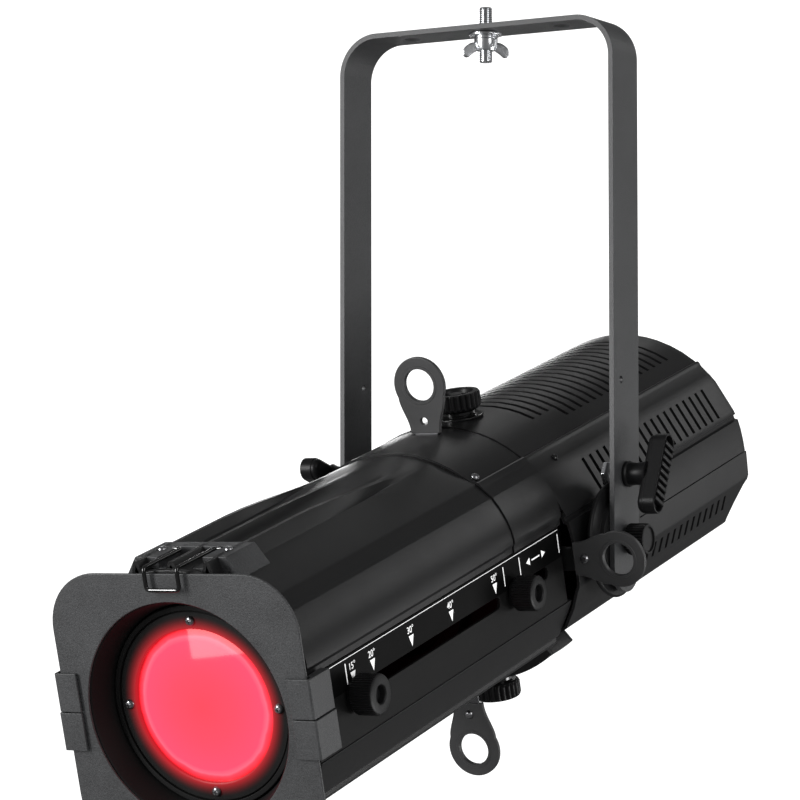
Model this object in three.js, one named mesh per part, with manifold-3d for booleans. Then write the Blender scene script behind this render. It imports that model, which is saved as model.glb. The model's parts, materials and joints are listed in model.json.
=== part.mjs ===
// Ellipsoidal (profile) spotlight hung from a yoke: zoom barrel, four framing shutters, LED lamp housing.
// Units are millimetres and +Z is up. The origin is the hanging hole in the yoke's crossbar, on its top face.
// The optical group has its own frame: X right, Y back along the optical axis, Z up, origin on the tilt axis.
import * as THREE from 'three';
import { mergeVertices } from 'three/addons/utils/BufferGeometryUtils.js';
import Module from 'manifold-3d';

const wasm = await Module();
wasm.setup();

// ---------- driving dimensions ----------
const GAP = 0.3;

// yoke
const AXIS_DROP = 380.6; // crossbar's top face down to the tilt axis
const YOKE_WIDTH = 230.4;
const STRIP = 3.8;
const STRIP_WIDTH = 40;
const BEND = 31;
const ARM_BELOW = 38; // arm's rounded end below the tilt axis
const CLAMP_RISE = 47; // T handle above the tilt axis
const HANG_HOLE = 5.4;
const SIDE_HOLE = 6.5;
const SIDE_HOLE_X = 63.3;
const BOLT = 4.85;
const REST_TILT = 15.8; // nose down, degrees
const ARM_GAP = 0.4; // between an arm and the knob or handle that clamps it
const STUD_R = 4; // screws of the T handles, pivot knobs and lock knobs
const DISC_R = 42;
const HANDLE_LENGTH = 62;
const HANDLE_WIDTH = 17;
const PIVOT_KNOB_R = 11.5;

// lamp housing
const HOUSING_SECTION = [
  [-90, 86], [-72, 87.5], [-60, 88], [-47, 92], [-33, 97.6], [-22, 98], [-11, 98], [0, 98],
  [18.5, 98], [37.5, 98], [48, 98], [56, 98], [73, 98], [90, 98],
]; // [angle, radius] of the right side, from straight down to straight up
const HOUSING_WALL = 2.6;
const HOUSING_FRONT = -47;
const HOUSING_REAR = 258;
const VENT_FIRST = 15;
const VENT_PITCH = 11.8;
const VENT_ROWS = 19;
const VENT_WIDTH = 3.6;
const LOCK_Y = -16; // station of the two rotation lock knobs
const LOCK_SWING = 25; // the barrel turns this far each way in the housing
const LOCK_COLLAR_R = 12.5;
const LOCK_TROUGH = { half: 14.5, wall: 4, floor: 92.6, reach: 34 }; // round the lower knob
const LOCK_KNOB_R = 17.6;

// rear panel and what it carries
const PANEL_Y = HOUSING_REAR - 4;
const PANEL_INSET = 4.4; // from the housing's outside
const PANEL_KNEE = -24; // below this the panel slopes forwards to the lower rear edge
const REAR_STEP = 22; // how far forward the lower rear edge lies
const PANEL_THICK = 2.5;
const DISPLAY = { x0: -50, x1: -16, z0: 43, z1: 61 };
const BUTTON_X = [-9, 3, 15, 27];
const BUTTON_Z = 52;
const BUTTON_R = 3.1;
const POWER = { inlet: -62, outlet: -27, radius: 12, bore: 9.5 };
const DATA = { inlet: 12, outlet: 46, radius: 11, bore: 8.8 };
const SOCKET_Z = -4;
const FUSE = { x: -62, z: 23, radius: 6 };

// inside the housing
const HEATSINK_Y = 99.4;
const HEATSINK_DEPTH = 62;
const HEATSINK_BASE = 8;
const HEATSINK_HALF = 54;
const HEATSINK_FINS = 12;
const HEATSINK_RISE = 6; // it sits above the power supply
const FAN_Y = 168;
const FAN_DEPTH = 25;
const FAN_HALF = 58;
const FAN_BORE = 54.5;
const FAN_BLADES = 7;

// barrel
const BARREL_R = 96;
const BARREL_WALL = 2.5;
const BARREL_UNDER = [
  [-90, 88], [-75, 88.5], [-64, 89.5], [-52, 91], [-41.6, 96.3], [-37.7, 94.8], [-19.3, 95.1],
]; // [angle, radius] of the bottom cover's right side
const RIDGES = [-27, 0, 27];
const RIDGE_FRONT = -353.5;
const CARRIER_R = 82.4;
const FLAT_X = 89.8; // flat sides of the barrel
const PANEL_TOP = 24;
const PANEL_BOTTOM = -31;
const BARREL_FRONT = -400;
const COVER_SEAM = -120;
const BARREL_REAR = -48.2;

// shutters
const GATE_R = 36;
const BLADE = 1.2;
const SHUTTERS = [
  { name: 'shutter_top', turn: 0, y: -65, out: 0 },
  { name: 'shutter_bottom', turn: 180, y: -60.2, out: 9 },
  { name: 'shutter_left', turn: 90, y: -55.2, out: 4 },
  { name: 'shutter_right', turn: -90, y: -50.4, out: 0 },
];

// optics
const KNOB_Z = -2;
const ZOOM_Y = -350;
const FOCUS_Y = -129;
const ROD_R = 3;
const ROD_Z = 75;
const ZOOM_KNOB_R = 13.5;
const FOCUS_KNOB_R = 12.5;

// colour frame
const FRAME_SIZE = 187;
const FRAME_CORNER = 38;
const FRAME_HOLE = 75;
const FRAME_Y = -408.6;
const FRAME_THICK = 2;
const LATCH_Y = -368;
const LATCH_Z = 98.4;
const LATCH_WIRE = 1.4;
const LATCH_HALF = 12.5;

// ---------- materials ----------
function finish(color, roughness, metalness = 0) {
  return new THREE.MeshStandardMaterial({ color, roughness, metalness });
}
const PAINT = finish(0x1b1b1c, 0.5, 0.1);
const YOKE_PAINT = finish(0x343638, 0.55, 0.2);
const RUBBER = finish(0x161616, 0.8);
const PLASTIC = finish(0x1a1a1b, 0.6);
const GLOSS = finish(0x050505, 0.2);
const STEEL = finish(0xb9bcc0, 0.35, 0.9);
const ALUMINIUM = finish(0x9a9da1, 0.45, 0.8);
const GLASS = finish(0xd03050, 0.05);
const BOARD = finish(0x14402a, 0.6);
const PHOSPHOR = finish(0xe8c93a, 0.5);
const CONNECTOR = finish(0x1d4f9a, 0.5);

// ---------- solids ----------
function solid(geometry) {
  const bare = geometry.index ? geometry.toNonIndexed() : geometry.clone();
  for (const key of Object.keys(bare.attributes)) {
    if (key !== 'position') {
      bare.deleteAttribute(key);
    }
  }
  const merged = mergeVertices(bare, 1e-4);
  const mesh = new wasm.Mesh({
    numProp: 3,
    vertProperties: new Float32Array(merged.attributes.position.array),
    triVerts: new Uint32Array(merged.index.array),
  });
  return new wasm.Manifold(mesh);
}

function join(first, ...rest) {
  return rest.reduce((sum, piece) => sum.add(piece), first);
}

function cut(first, ...rest) {
  return rest.reduce((left, tool) => left.subtract(tool), first);
}

function block(x0, x1, y0, y1, z0, z1) {
  const box = new THREE.BoxGeometry(x1 - x0, y1 - y0, z1 - z0);
  return solid(box.translate((x0 + x1) / 2, (y0 + y1) / 2, (z0 + z1) / 2));
}

function rodX(radius, x0, x1, y = 0, z = 0, sides = 16) {
  const rod = new THREE.CylinderGeometry(radius, radius, x1 - x0, sides);
  return solid(rod.rotateZ(-Math.PI / 2).translate((x0 + x1) / 2, y, z));
}

function rodY(radius, y0, y1, x = 0, z = 0, sides = 16) {
  const rod = new THREE.CylinderGeometry(radius, radius, y1 - y0, sides);
  return solid(rod.translate(x, (y0 + y1) / 2, z));
}

function rodZ(radius, z0, z1, x = 0, y = 0, sides = 16) {
  const rod = new THREE.CylinderGeometry(radius, radius, z1 - z0, sides);
  return solid(rod.rotateX(Math.PI / 2).translate(x, y, (z0 + z1) / 2));
}

// a closed profile of [radius, y] points turned about the Y axis
function turned(profile, sides = 48) {
  const points = profile.map(([radius, y]) => new THREE.Vector2(radius, y));
  const first = profile[0];
  const last = profile[profile.length - 1];
  const onAxis = first[0] === 0 && last[0] === 0;
  if (!onAxis) {
    points.push(points[0].clone());
  }
  const made = solid(new THREE.LatheGeometry(points, sides));
  return made.volume() < 0 ? solid(new THREE.LatheGeometry(points.reverse(), sides)) : made;
}

function outline(points) {
  return new THREE.Shape(points.map(([a, b]) => new THREE.Vector2(a, b)));
}

// an [x, y] shape raised from z0 to z1
function prismZ(shape, z0, z1, curveSegments = 12) {
  const raised = new THREE.ExtrudeGeometry(shape, { depth: z1 - z0, bevelEnabled: false, curveSegments });
  return solid(raised.translate(0, 0, z0));
}

// an [x, z] shape drawn from y0 to y1
function prismY(shape, y0, y1, curveSegments = 12) {
  const raised = new THREE.ExtrudeGeometry(shape, { depth: y1 - y0, bevelEnabled: false, curveSegments });
  return solid(raised.rotateX(Math.PI / 2).translate(0, y1, 0));
}

// a [y, z] shape drawn from x0 to x1
function prismX(shape, x0, x1, curveSegments = 12) {
  const raised = new THREE.ExtrudeGeometry(shape, { depth: x1 - x0, bevelEnabled: false, curveSegments });
  const basis = new THREE.Matrix4().makeBasis(
    new THREE.Vector3(0, 1, 0),
    new THREE.Vector3(0, 0, 1),
    new THREE.Vector3(1, 0, 0),
  );
  return solid(raised.applyMatrix4(basis).translate(x0, 0, 0));
}

// [x, z] points round the optical axis; angles in degrees from +X towards +Z
function arc(radius, angles) {
  return angles.map((angle) => {
    const a = THREE.MathUtils.degToRad(angle);
    return [radius * Math.cos(a), radius * Math.sin(a)];
  });
}

function steps(from, to, count) {
  return Array.from({ length: count + 1 }, (_, i) => from + ((to - from) * i) / count);
}

// the closed outline of a section given by its right side, taken in by inset
function section(half, inset = 0) {
  const right = half.flatMap(([angle, radius]) => arc(radius - inset, [angle]));
  const left = right.filter(([x]) => x > 0.01).map(([x, z]) => [-x, z]);
  return outline([...right, ...left.reverse()]);
}

// a piece of a ring round the optical axis
function sector(inner, outer, from, to, y0, y1, count = 6) {
  const out = arc(outer, steps(from, to, count));
  const back = arc(inner, steps(to, from, count));
  return prismY(outline([...out, ...back]), y0, y1);
}

// a knob outline with rounded grip ribs
function ribbed(radius, ribs, depth) {
  const points = [];
  for (let i = 0; i < ribs; i += 1) {
    const turn = (360 / ribs) * i;
    points.push(...arc(radius, [turn - 90 / ribs, turn + 90 / ribs]));
    points.push(...arc(radius - depth, [turn + 130 / ribs, turn + 230 / ribs]));
  }
  return outline(points);
}

function mesh(name, shape, material) {
  const data = shape.getMesh();
  const geometry = new THREE.BufferGeometry();
  geometry.setAttribute('position', new THREE.BufferAttribute(new Float32Array(data.vertProperties), 3));
  geometry.setIndex(new THREE.BufferAttribute(new Uint32Array(data.triVerts), 1));
  geometry.computeVertexNormals();
  const node = new THREE.Mesh(geometry, material);
  node.name = name;
  return node;
}

// ---------- yoke ----------
const OUTER_X = YOKE_WIDTH / 2;
const INNER_X = OUTER_X - STRIP;

function makeYoke() {
  const end = -AXIS_DROP - ARM_BELOW;
  const inside = BEND - STRIP;
  const strip = new THREE.Shape();
  strip.moveTo(OUTER_X, end);
  strip.lineTo(OUTER_X, -BEND);
  strip.absarc(OUTER_X - BEND, -BEND, BEND, 0, Math.PI / 2, false);
  strip.lineTo(-OUTER_X + BEND, 0);
  strip.absarc(-OUTER_X + BEND, -BEND, BEND, Math.PI / 2, Math.PI, false);
  strip.lineTo(-OUTER_X, end);
  strip.lineTo(-INNER_X, end);
  strip.lineTo(-INNER_X, -BEND);
  strip.absarc(-OUTER_X + BEND, -BEND, inside, Math.PI, Math.PI / 2, true);
  strip.lineTo(OUTER_X - BEND, -STRIP);
  strip.absarc(OUTER_X - BEND, -BEND, inside, Math.PI / 2, 0, true);
  strip.lineTo(INNER_X, end);
  const half = STRIP_WIDTH / 2;
  let yoke = prismY(strip, -half, half, 4);
  // rounded lower ends
  const round = new THREE.Shape();
  round.moveTo(-half, end + half);
  round.absarc(0, end + half, half, Math.PI, 2 * Math.PI, false);
  round.lineTo(half, 1);
  round.lineTo(-half, 1);
  yoke = yoke.intersect(prismX(round, -OUTER_X - 1, OUTER_X + 1, 6));
  const drill = (radius, z) => rodX(radius, -OUTER_X - 1, OUTER_X + 1, 0, z - AXIS_DROP, 12);
  return cut(
    yoke,
    rodZ(HANG_HOLE, -STRIP - 1, 1, 0, 0, 14),
    rodZ(SIDE_HOLE, -STRIP - 1, 1, SIDE_HOLE_X, 0, 14),
    rodZ(SIDE_HOLE, -STRIP - 1, 1, -SIDE_HOLE_X, 0, 14),
    drill(4.5, 0),
    drill(4.5, CLAMP_RISE),
    rodX(2.7, INNER_X - 1, OUTER_X + 1, -8.5, 115 - AXIS_DROP, 8),
    rodX(2.7, -OUTER_X - 1, -INNER_X + 1, 8.5, 115 - AXIS_DROP, 8),
  );
}

function makeWingNut() {
  const top = -STRIP - 2.6;
  const hub = rodZ(8.6, top - 9, top, 0, 0, 16);
  const wing = new THREE.Shape();
  wing.moveTo(6, top - 7);
  wing.lineTo(10, top - 5);
  wing.quadraticCurveTo(16, top - 3.5, 17.5, top - 10);
  wing.quadraticCurveTo(17.5, top - 15, 13.5, top - 14);
  wing.quadraticCurveTo(9, top - 11, 6, top - 9);
  const right = prismY(wing, -1.6, 1.6, 4);
  const left = right.mirror([1, 0, 0]);
  return cut(join(hub, right, left), rodZ(BOLT + GAP, top - 20, top + 1, 0, 0, 12));
}

// T handle with its stud; side is +1 on the right and -1 on the left, lean turns the bar from vertical
function makeTHandle(side, lean) {
  const end = HANDLE_WIDTH / 2;
  const middle = HANDLE_LENGTH / 2 - end;
  const bar = new THREE.Shape();
  bar.absarc(0, middle, end, 0, Math.PI, false);
  bar.absarc(0, -middle, end, Math.PI, 2 * Math.PI, false);
  const grip = prismX(bar, 15, 31, 6).rotate([-lean, 0, 0]);
  const neck = rodX(8.6, ARM_GAP, 16, 0, 0, 16);
  const stud = rodX(STUD_R, -13, ARM_GAP + 1, 0, 0, 12);
  const all = join(grip, neck, stud).translate([OUTER_X, 0, 0]);
  return side > 0 ? all : all.mirror([1, 0, 0]);
}

function makeClampNut(side) {
  const nut = cut(rodX(10, 98.9, INNER_X - 8.7, 0, 0, 16), rodX(STUD_R + GAP, 90, 120, 0, 0, 12));
  return side > 0 ? nut : nut.mirror([1, 0, 0]);
}

function makePivotKnob(side) {
  const grip = prismX(ribbed(PIVOT_KNOB_R, 10, 1.2), OUTER_X + 2.4, OUTER_X + 17.6);
  const collar = rodX(7.5, OUTER_X + ARM_GAP, OUTER_X + 3, 0, 0, 16);
  const screw = rodX(STUD_R, 98.6, OUTER_X + 3, 0, 0, 12);
  const all = join(grip, collar, screw);
  return side > 0 ? all : all.mirror([1, 0, 0]);
}

// ---------- lamp housing ----------
function vent(angle, y, height, width = VENT_WIDTH) {
  const tool = block(85, 110, y - width / 2, y + width / 2, -height / 2, height / 2);
  return tool.rotate([0, -angle, 0]);
}

// [y, z] down the stepped lower rear edge
const REAR_EDGE = [
  [HOUSING_REAR, PANEL_KNEE + 2], [HOUSING_REAR - REAR_STEP + 4, -36], [HOUSING_REAR - REAR_STEP, -60],
  [HOUSING_REAR - REAR_STEP, -130],
];

function makeHousing(upper) {
  const outer = prismY(section(HOUSING_SECTION), HOUSING_FRONT, HOUSING_REAR);
  const inner = prismY(section(HOUSING_SECTION, HOUSING_WALL), -100, 300);
  const half = upper ? block(-120, 120, -100, 300, 0.15, 120) : block(-120, 120, -100, 300, -120, -0.15);
  let shell = cut(outer, inner).intersect(half);
  if (upper) {
    shell = cut(shell, rodZ(LOCK_COLLAR_R + 0.4, 80, 110, 0, LOCK_Y, 20));
  } else {
    const { half: width, wall, floor, reach } = LOCK_TROUGH;
    const y0 = LOCK_Y - width;
    const y1 = LOCK_Y + width;
    const pad = sector(84.5, 98, -94 - reach, -86 + reach, y0 - wall, y1 + wall);
    const trough = sector(floor, 105, -90 - reach, -90 + reach, y0, y1);
    const edge = outline([...REAR_EDGE, [300, -130], [300, PANEL_KNEE + 2]]);
    const hole = rodZ(STUD_R + 0.4, -110, -80, 0, LOCK_Y, 12);
    shell = cut(join(shell, pad), trough, hole, prismX(edge, -120, 120));
  }
  for (let row = 0; row < VENT_ROWS; row += 1) {
    const y = VENT_FIRST + VENT_PITCH * row;
    if (upper) {
      const reach = row < 3 ? 27 : 33.5;
      shell = cut(shell, sector(85, 105, 90 - reach, 90 + reach, y - 2, y + 2, 2));
      shell = cut(shell, vent(28, y, 26), vent(152, y, 26));
    } else if (row < VENT_ROWS - 1) {
      shell = cut(shell, vent(-20.5, y, 15), vent(-159.5, y, 15));
    }
  }
  return shell;
}

function makeFrictionDisc(side) {
  const disc = join(rodX(DISC_R, 103.6, 107.4, 0, 0, 24), rodX(15, 98.5, 104, 0, 0, 14));
  const seat = rodX(28, 107, INNER_X - 0.5, 0, 0, 18);
  const all = cut(join(disc, seat), rodX(STUD_R + GAP, 90, 120, 0, 0, 12));
  return side > 0 ? all : all.mirror([1, 0, 0]);
}

// a plate that is flat down to its knee and then follows the housing's stepped rear edge
function makePanelPlate() {
  const back = [[PANEL_Y, 110], [PANEL_Y, PANEL_KNEE], ...REAR_EDGE.slice(1).map(([y, z]) => [y - 4, z])];
  const front = back.map(([y, z]) => [y - PANEL_THICK, z]).reverse();
  const sheet = prismX(outline([...back, ...front]), -120, 120);
  return sheet.intersect(prismY(section(HOUSING_SECTION, PANEL_INSET), 200, 300));
}

function makeRearPanel() {
  const through = (radius, x, z, sides) => rodY(radius, PANEL_Y - 5, PANEL_Y + 1, x, z, sides);
  const { x0, x1, z0, z1 } = DISPLAY;
  return cut(
    makePanelPlate(),
    ...BUTTON_X.map((x) => through(BUTTON_R + 0.5, x, BUTTON_Z, 10)),
    block(x0 - GAP, x1 + GAP, PANEL_Y - 5, PANEL_Y + 1, z0 - GAP, z1 + GAP),
    through(POWER.radius + 0.4, POWER.inlet, SOCKET_Z, 14),
    through(POWER.radius + 0.4, POWER.outlet, SOCKET_Z, 14),
    through(DATA.radius + 0.4, DATA.inlet, SOCKET_Z, 14),
    through(DATA.radius + 0.4, DATA.outlet, SOCKET_Z, 14),
    through(FUSE.radius + 0.4, FUSE.x, FUSE.z, 12),
  );
}

function makeDisplayWindow() {
  const { x0, x1, z0, z1 } = DISPLAY;
  return block(x0, x1, PANEL_Y - 6, PANEL_Y + 1, z0, z1);
}

function makeSocket({ radius, bore }, x) {
  const sleeve = rodY(radius, PANEL_Y - 22, PANEL_Y + 2, x, SOCKET_Z, 14);
  const rim = rodY(radius + 3.2, PANEL_Y + 0.4, PANEL_Y + 2.6, x, SOCKET_Z, 14);
  return cut(join(sleeve, rim), rodY(bore, PANEL_Y - 14, PANEL_Y + 4, x, SOCKET_Z, 12));
}

function makeFuseCap() {
  const { x, z, radius } = FUSE;
  const shank = rodY(radius, PANEL_Y - 20, PANEL_Y + 1, x, z, 12);
  return join(shank, rodY(radius + 2, PANEL_Y + 0.4, PANEL_Y + 6, x, z, 12));
}

// a comb of fins on a base plate, its fins pointing back
function makeHeatsink() {
  const half = HEATSINK_HALF;
  const tooth = (2 * half) / (2 * HEATSINK_FINS - 1);
  const points = [[-half, 0], [half, 0], [half, HEATSINK_DEPTH], [half - tooth, HEATSINK_DEPTH]];
  for (let fin = HEATSINK_FINS - 2; fin >= 0; fin -= 1) {
    const x = -half + 2 * tooth * fin;
    points.push([x + 2 * tooth, HEATSINK_BASE], [x + tooth, HEATSINK_BASE]);
    points.push([x + tooth, HEATSINK_DEPTH], [x, HEATSINK_DEPTH]);
  }
  return prismZ(outline(points), -half, half).translate([0, HEATSINK_Y, HEATSINK_RISE]);
}

// the openings left between the guard's four spokes and its hub plate
function makeGuardOpenings() {
  const y = FAN_Y + 19;
  const openings = [45, 135, 225, 315].map((turn) => sector(24, FAN_BORE, turn - 38, turn + 38, y, y + 4, 3));
  return join(...openings);
}

function makeFanFrame() {
  const rear = FAN_Y + FAN_DEPTH;
  return cut(
    block(-FAN_HALF, FAN_HALF, FAN_Y, rear, -FAN_HALF, FAN_HALF),
    rodY(FAN_BORE, FAN_Y - 8, FAN_Y + 20, 0, 0, 20),
    rodY(FAN_BORE, FAN_Y + 21.5, rear + 7, 0, 0, 20),
    makeGuardOpenings(),
  );
}

function makeFanRotor() {
  const hub = rodY(21, FAN_Y + 2, FAN_Y + 18, 0, 0, 14);
  const middle = FAN_Y + 9.6;
  const blades = Array.from({ length: FAN_BLADES }, (_, i) => {
    const blade = block(18, 51, -0.9, 0.9, -11, 11).rotate([32, 0, 0]);
    return blade.translate([0, middle, 0]).rotate([0, (360 / FAN_BLADES) * i, 0]);
  });
  return join(hub, ...blades);
}

// ---------- turning barrel ----------
function barrelShell(y0, y1, z0, z1) {
  const ring = cut(rodY(BARREL_R, y0, y1, 0, 0, 40), rodY(BARREL_R - BARREL_WALL, y0 - 1, y1 + 1, 0, 0, 40));
  return ring.intersect(block(-FLAT_X, FLAT_X, y0 - 1, y1 + 1, z0, z1));
}

// a low rib that runs back from the latch block and dies into the round shell
function makeTopRidge(x) {
  const rib = outline([[RIDGE_FRONT, 85], [RIDGE_FRONT, 99], [-286, 99], [-150, 91], [-150, 85]]);
  return cut(prismX(rib, x - 4.5, x + 4.5), rodY(BARREL_R - 1, -410, -100, 0, 0, 40));
}

// the same under the barrel, where it slopes up to the cover
function makeUnderRidge(x) {
  const rib = outline([[RIDGE_FRONT, -80], [RIDGE_FRONT, -98], [-245, -88], [-245, -80]]);
  return cut(prismX(rib, x - 4.5, x + 4.5), prismY(section(BARREL_UNDER, 1), -410, -100));
}

function makeCoverTop() {
  const shell = barrelShell(BARREL_FRONT, COVER_SEAM - 0.15, PANEL_TOP + GAP, 120);
  return join(shell, ...RIDGES.map(makeTopRidge));
}

function makeGateCover() {
  const shell = barrelShell(COVER_SEAM + 0.15, BARREL_REAR, PANEL_TOP + GAP, 120);
  const y = SHUTTERS[0].y;
  return cut(shell, block(-11, 11, y - 1.6, y + 1.6, 80, 120));
}

function makeCoverBottom() {
  const outer = prismY(section(BARREL_UNDER), BARREL_FRONT, BARREL_REAR);
  const inner = prismY(section(BARREL_UNDER, BARREL_WALL), BARREL_FRONT - 10, BARREL_REAR + 10);
  const y = SHUTTERS[1].y;
  const shell = cut(outer, inner, block(-11, 11, y - 1.6, y + 1.6, -120, -80));
  return join(shell, ...RIDGES.map(makeUnderRidge));
}

function slot(y0, y1) {
  const half = 4.3;
  const shape = new THREE.Shape();
  shape.absarc(y1 - half, KNOB_Z, half, -Math.PI / 2, Math.PI / 2, false);
  shape.absarc(y0 + half, KNOB_Z, half, Math.PI / 2, (3 * Math.PI) / 2, false);
  return prismX(shape, FLAT_X - 10, FLAT_X + 10, 6);
}

function makeSidePanel(side) {
  const rear = side > 0 ? SHUTTERS[3].y - 3 : SHUTTERS[2].y - 3;
  const x = side > 0 ? FLAT_X - 3 : -FLAT_X;
  const panel = block(x, x + 3, BARREL_FRONT + 0.4, rear, PANEL_BOTTOM, PANEL_TOP);
  return side > 0 ? cut(panel, slot(-358, -147), slot(-137, -77)) : panel;
}

function makeFrontFrame() {
  const section = rodY(BARREL_R, -406.2, BARREL_FRONT - GAP, 0, 0, 40);
  const flange = section.intersect(block(-FLAT_X, FLAT_X, -410, -390, -120, 120));
  const tube = turned([[70, -401], [76, -401], [76, -385], [70, -385]], 36);
  const frame = cut(join(flange, tube), rodY(70, -403, -384, 0, 0, 36));
  const opened = cut(frame, rodY(76, -407, -402.8, 0, 0, 36));
  const channel = outline([
    [FLAT_X + GAP, -386], [FLAT_X + GAP, BARREL_FRONT], [FLAT_X - 6, BARREL_FRONT - 0.8],
    [FLAT_X - 6, -405.5], [95.2, -405.5], [95.2, -409.2], [80, -409.2], [80, -411.6],
    [97.8, -411.6], [97.8, -386],
  ]);
  const right = prismZ(channel, -25, 27);
  const left = right.mirror([1, 0, 0]);
  const shelf = outline([
    [-411.6, -86], [-411.6, -98], [-386, -98], [-386, -96.4], [-398, -96.4],
    [-400.9, -96.4], [-400.9, -88], [-406, -88], [-406, -94.2], [-409.2, -94.2], [-409.2, -86],
  ]);
  return join(opened, right, left, prismX(shelf, -28, 28));
}

function makeLatchBlock() {
  const wedge = outline([[-47, 80], [47, 80], [34, 99], [-34, 99]]);
  const body = prismY(wedge, -389, -354);
  return cut(
    body,
    rodY(BARREL_R + GAP, -400, -300, 0, 0, 40),
    block(-17, 17, -390, -364, 90, 120),
    rodX(LATCH_WIRE + 0.5, -20, 20, LATCH_Y, LATCH_Z, 8),
  );
}

function makeLatch() {
  const front = FRAME_Y - 3.8;
  const foot = 84;
  const bar = (x) => rodY(LATCH_WIRE, front, LATCH_Y, x, LATCH_Z, 8);
  const drop = (x) => rodZ(LATCH_WIRE, foot, LATCH_Z + LATCH_WIRE * 0.7, x, front, 8);
  return join(
    rodX(LATCH_WIRE, -LATCH_HALF - 6, LATCH_HALF + 6, LATCH_Y, LATCH_Z, 8),
    bar(-LATCH_HALF),
    bar(LATCH_HALF),
    drop(-LATCH_HALF),
    drop(LATCH_HALF),
    rodX(LATCH_WIRE, -LATCH_HALF - 1, LATCH_HALF + 1, front, foot, 8),
  );
}

function makeColourFrame() {
  const half = FRAME_SIZE / 2;
  const c = half - FRAME_CORNER;
  const plate = new THREE.Shape();
  plate.absarc(c, c, FRAME_CORNER, 0, Math.PI / 2, false);
  plate.absarc(-c, c, FRAME_CORNER, Math.PI / 2, Math.PI, false);
  plate.absarc(-c, -c, FRAME_CORNER, Math.PI, 1.5 * Math.PI, false);
  plate.absarc(c, -c, FRAME_CORNER, 1.5 * Math.PI, 2 * Math.PI, false);
  const hole = new THREE.Path();
  hole.absarc(0, 0, FRAME_HOLE, 0, 2 * Math.PI, true);
  plate.holes.push(hole);
  return prismY(plate, FRAME_Y, FRAME_Y + FRAME_THICK, 5);
}

// blade, tab and ring handle of the top shutter; +Z is outwards
function makeShutter(reach) {
  const blade = outline([[-44, 4], [44, 4], [9, 52], [9, 100], [-9, 100], [-9, 52]]);
  const plate = prismY(blade, -BLADE / 2, BLADE / 2);
  const ring = 20.5;
  const centre = 133;
  const grip = new THREE.Shape();
  grip.moveTo(-12, 97.6);
  grip.lineTo(12, 97.6);
  grip.quadraticCurveTo(12, 110, 18.6, 124.4);
  grip.absarc(0, centre, ring, -0.435, Math.PI + 0.435, false);
  grip.quadraticCurveTo(-12, 110, -12, 97.6);
  const eye = new THREE.Path();
  eye.absarc(0, centre, 12, 0, 2 * Math.PI, true);
  grip.holes.push(eye);
  const rivet = new THREE.Path();
  rivet.absarc(0, 106, 3, 0, 2 * Math.PI, true);
  grip.holes.push(rivet);
  const handle = prismY(grip, -2, 2, 7);
  return join(plate, handle).translate([0, 0, reach]);
}

function makeGateFront() {
  return cut(rodY(84.5, -70.6, -68.6, 0, 0, 32), rodY(GATE_R, -80, -60, 0, 0, 20));
}

function makeGateCarrier() {
  const plate = cut(rodY(CARRIER_R, -46.8, -44.6, 0, 0, 32), rodY(GATE_R, -80, -40, 0, 0, 20));
  const inside = CARRIER_R - 3;
  const sleeve = turned([[inside, -46.8], [CARRIER_R, -46.8], [CARRIER_R, 6], [inside, 6]], 32);
  const posts = [45, 135, 225, 315].map((turn) => {
    const [[x, z]] = arc(78, [turn]);
    return rodY(4, -68.3, -45, x, z, 8);
  });
  // slots that the lock knobs' screws run in as the barrel turns
  const swing = LOCK_SWING + 4;
  const track = sector(75, 90, 90 - swing, 90 + swing, LOCK_Y - STUD_R - 0.4, LOCK_Y + STUD_R + 0.4);
  return cut(join(plate, sleeve, ...posts), track, track.mirror([0, 0, 1]));
}

function makeLockKnob(upper) {
  const grip = prismZ(ribbed(LOCK_KNOB_R, 12, 1.6), 98.6, 116).translate([0, LOCK_Y, 0]);
  const collar = rodZ(LOCK_COLLAR_R, 93.6, 99, 0, LOCK_Y, 14);
  const stud = rodZ(STUD_R, CARRIER_R - 4, 94, 0, LOCK_Y, 12);
  const recess = rodZ(11, 112.5, 120, 0, LOCK_Y, 14);
  const knob = cut(join(grip, collar, stud), recess);
  return upper ? knob : knob.mirror([0, 0, 1]);
}

// lens carriage that slides on the two guide rods and carries its knob stud
function makeCarriage(profile, knobY) {
  const body = turned(profile, 28);
  const boss = block(70, 85, knobY - 6, knobY + 5, KNOB_Z - 7, KNOB_Z + 7);
  const stud = rodX(3, 80, 104, knobY, KNOB_Z, 8);
  const rods = [ROD_Z, -ROD_Z].map((z) => rodY(ROD_R + 0.6, knobY - 60, knobY + 60, 0, z, 8));
  return cut(join(body, boss, stud), ...rods);
}

const ZOOM_PROFILE = [
  [64, -396], [67.5, -396], [67.5, -357], [82, -357], [82, -347], [60, -347], [60, -386], [64, -386],
];
const FOCUS_PROFILE = [
  [46, -146], [56, -146], [56, -134], [82, -134], [82, -124], [54, -124], [54, -140], [46, -140],
];

function makeKnob(radius, knobY) {
  const grip = prismX(ribbed(radius, 12, 1.2), 93, 109);
  const collar = rodX(radius - 2, 90.6, 94, 0, 0, 14);
  const recess = rodX(6, 105, 112, 0, 0, 10);
  const bore = rodX(3.6, 85, 104.4, 0, 0, 8);
  return cut(join(grip, collar), recess, bore).translate([0, knobY, KNOB_Z]);
}

// a lens profile: front bulge, rim, back bulge
function makeLens(radius, front, rim0, rim1, back) {
  const bulge = (from, to, i) => from + (to - from) * (i / 3) ** 2;
  const face = steps(0, 3, 3).map((i) => [(radius * i) / 3, bulge(front, rim0, i)]);
  const rear = steps(3, 0, 3).map((i) => [(radius * i) / 3, bulge(back, rim1, i)]);
  return turned([...face, ...rear], 28);
}

// ---------- assembly ----------
const spotlight = new THREE.Group();
spotlight.name = 'spotlight';

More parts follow.
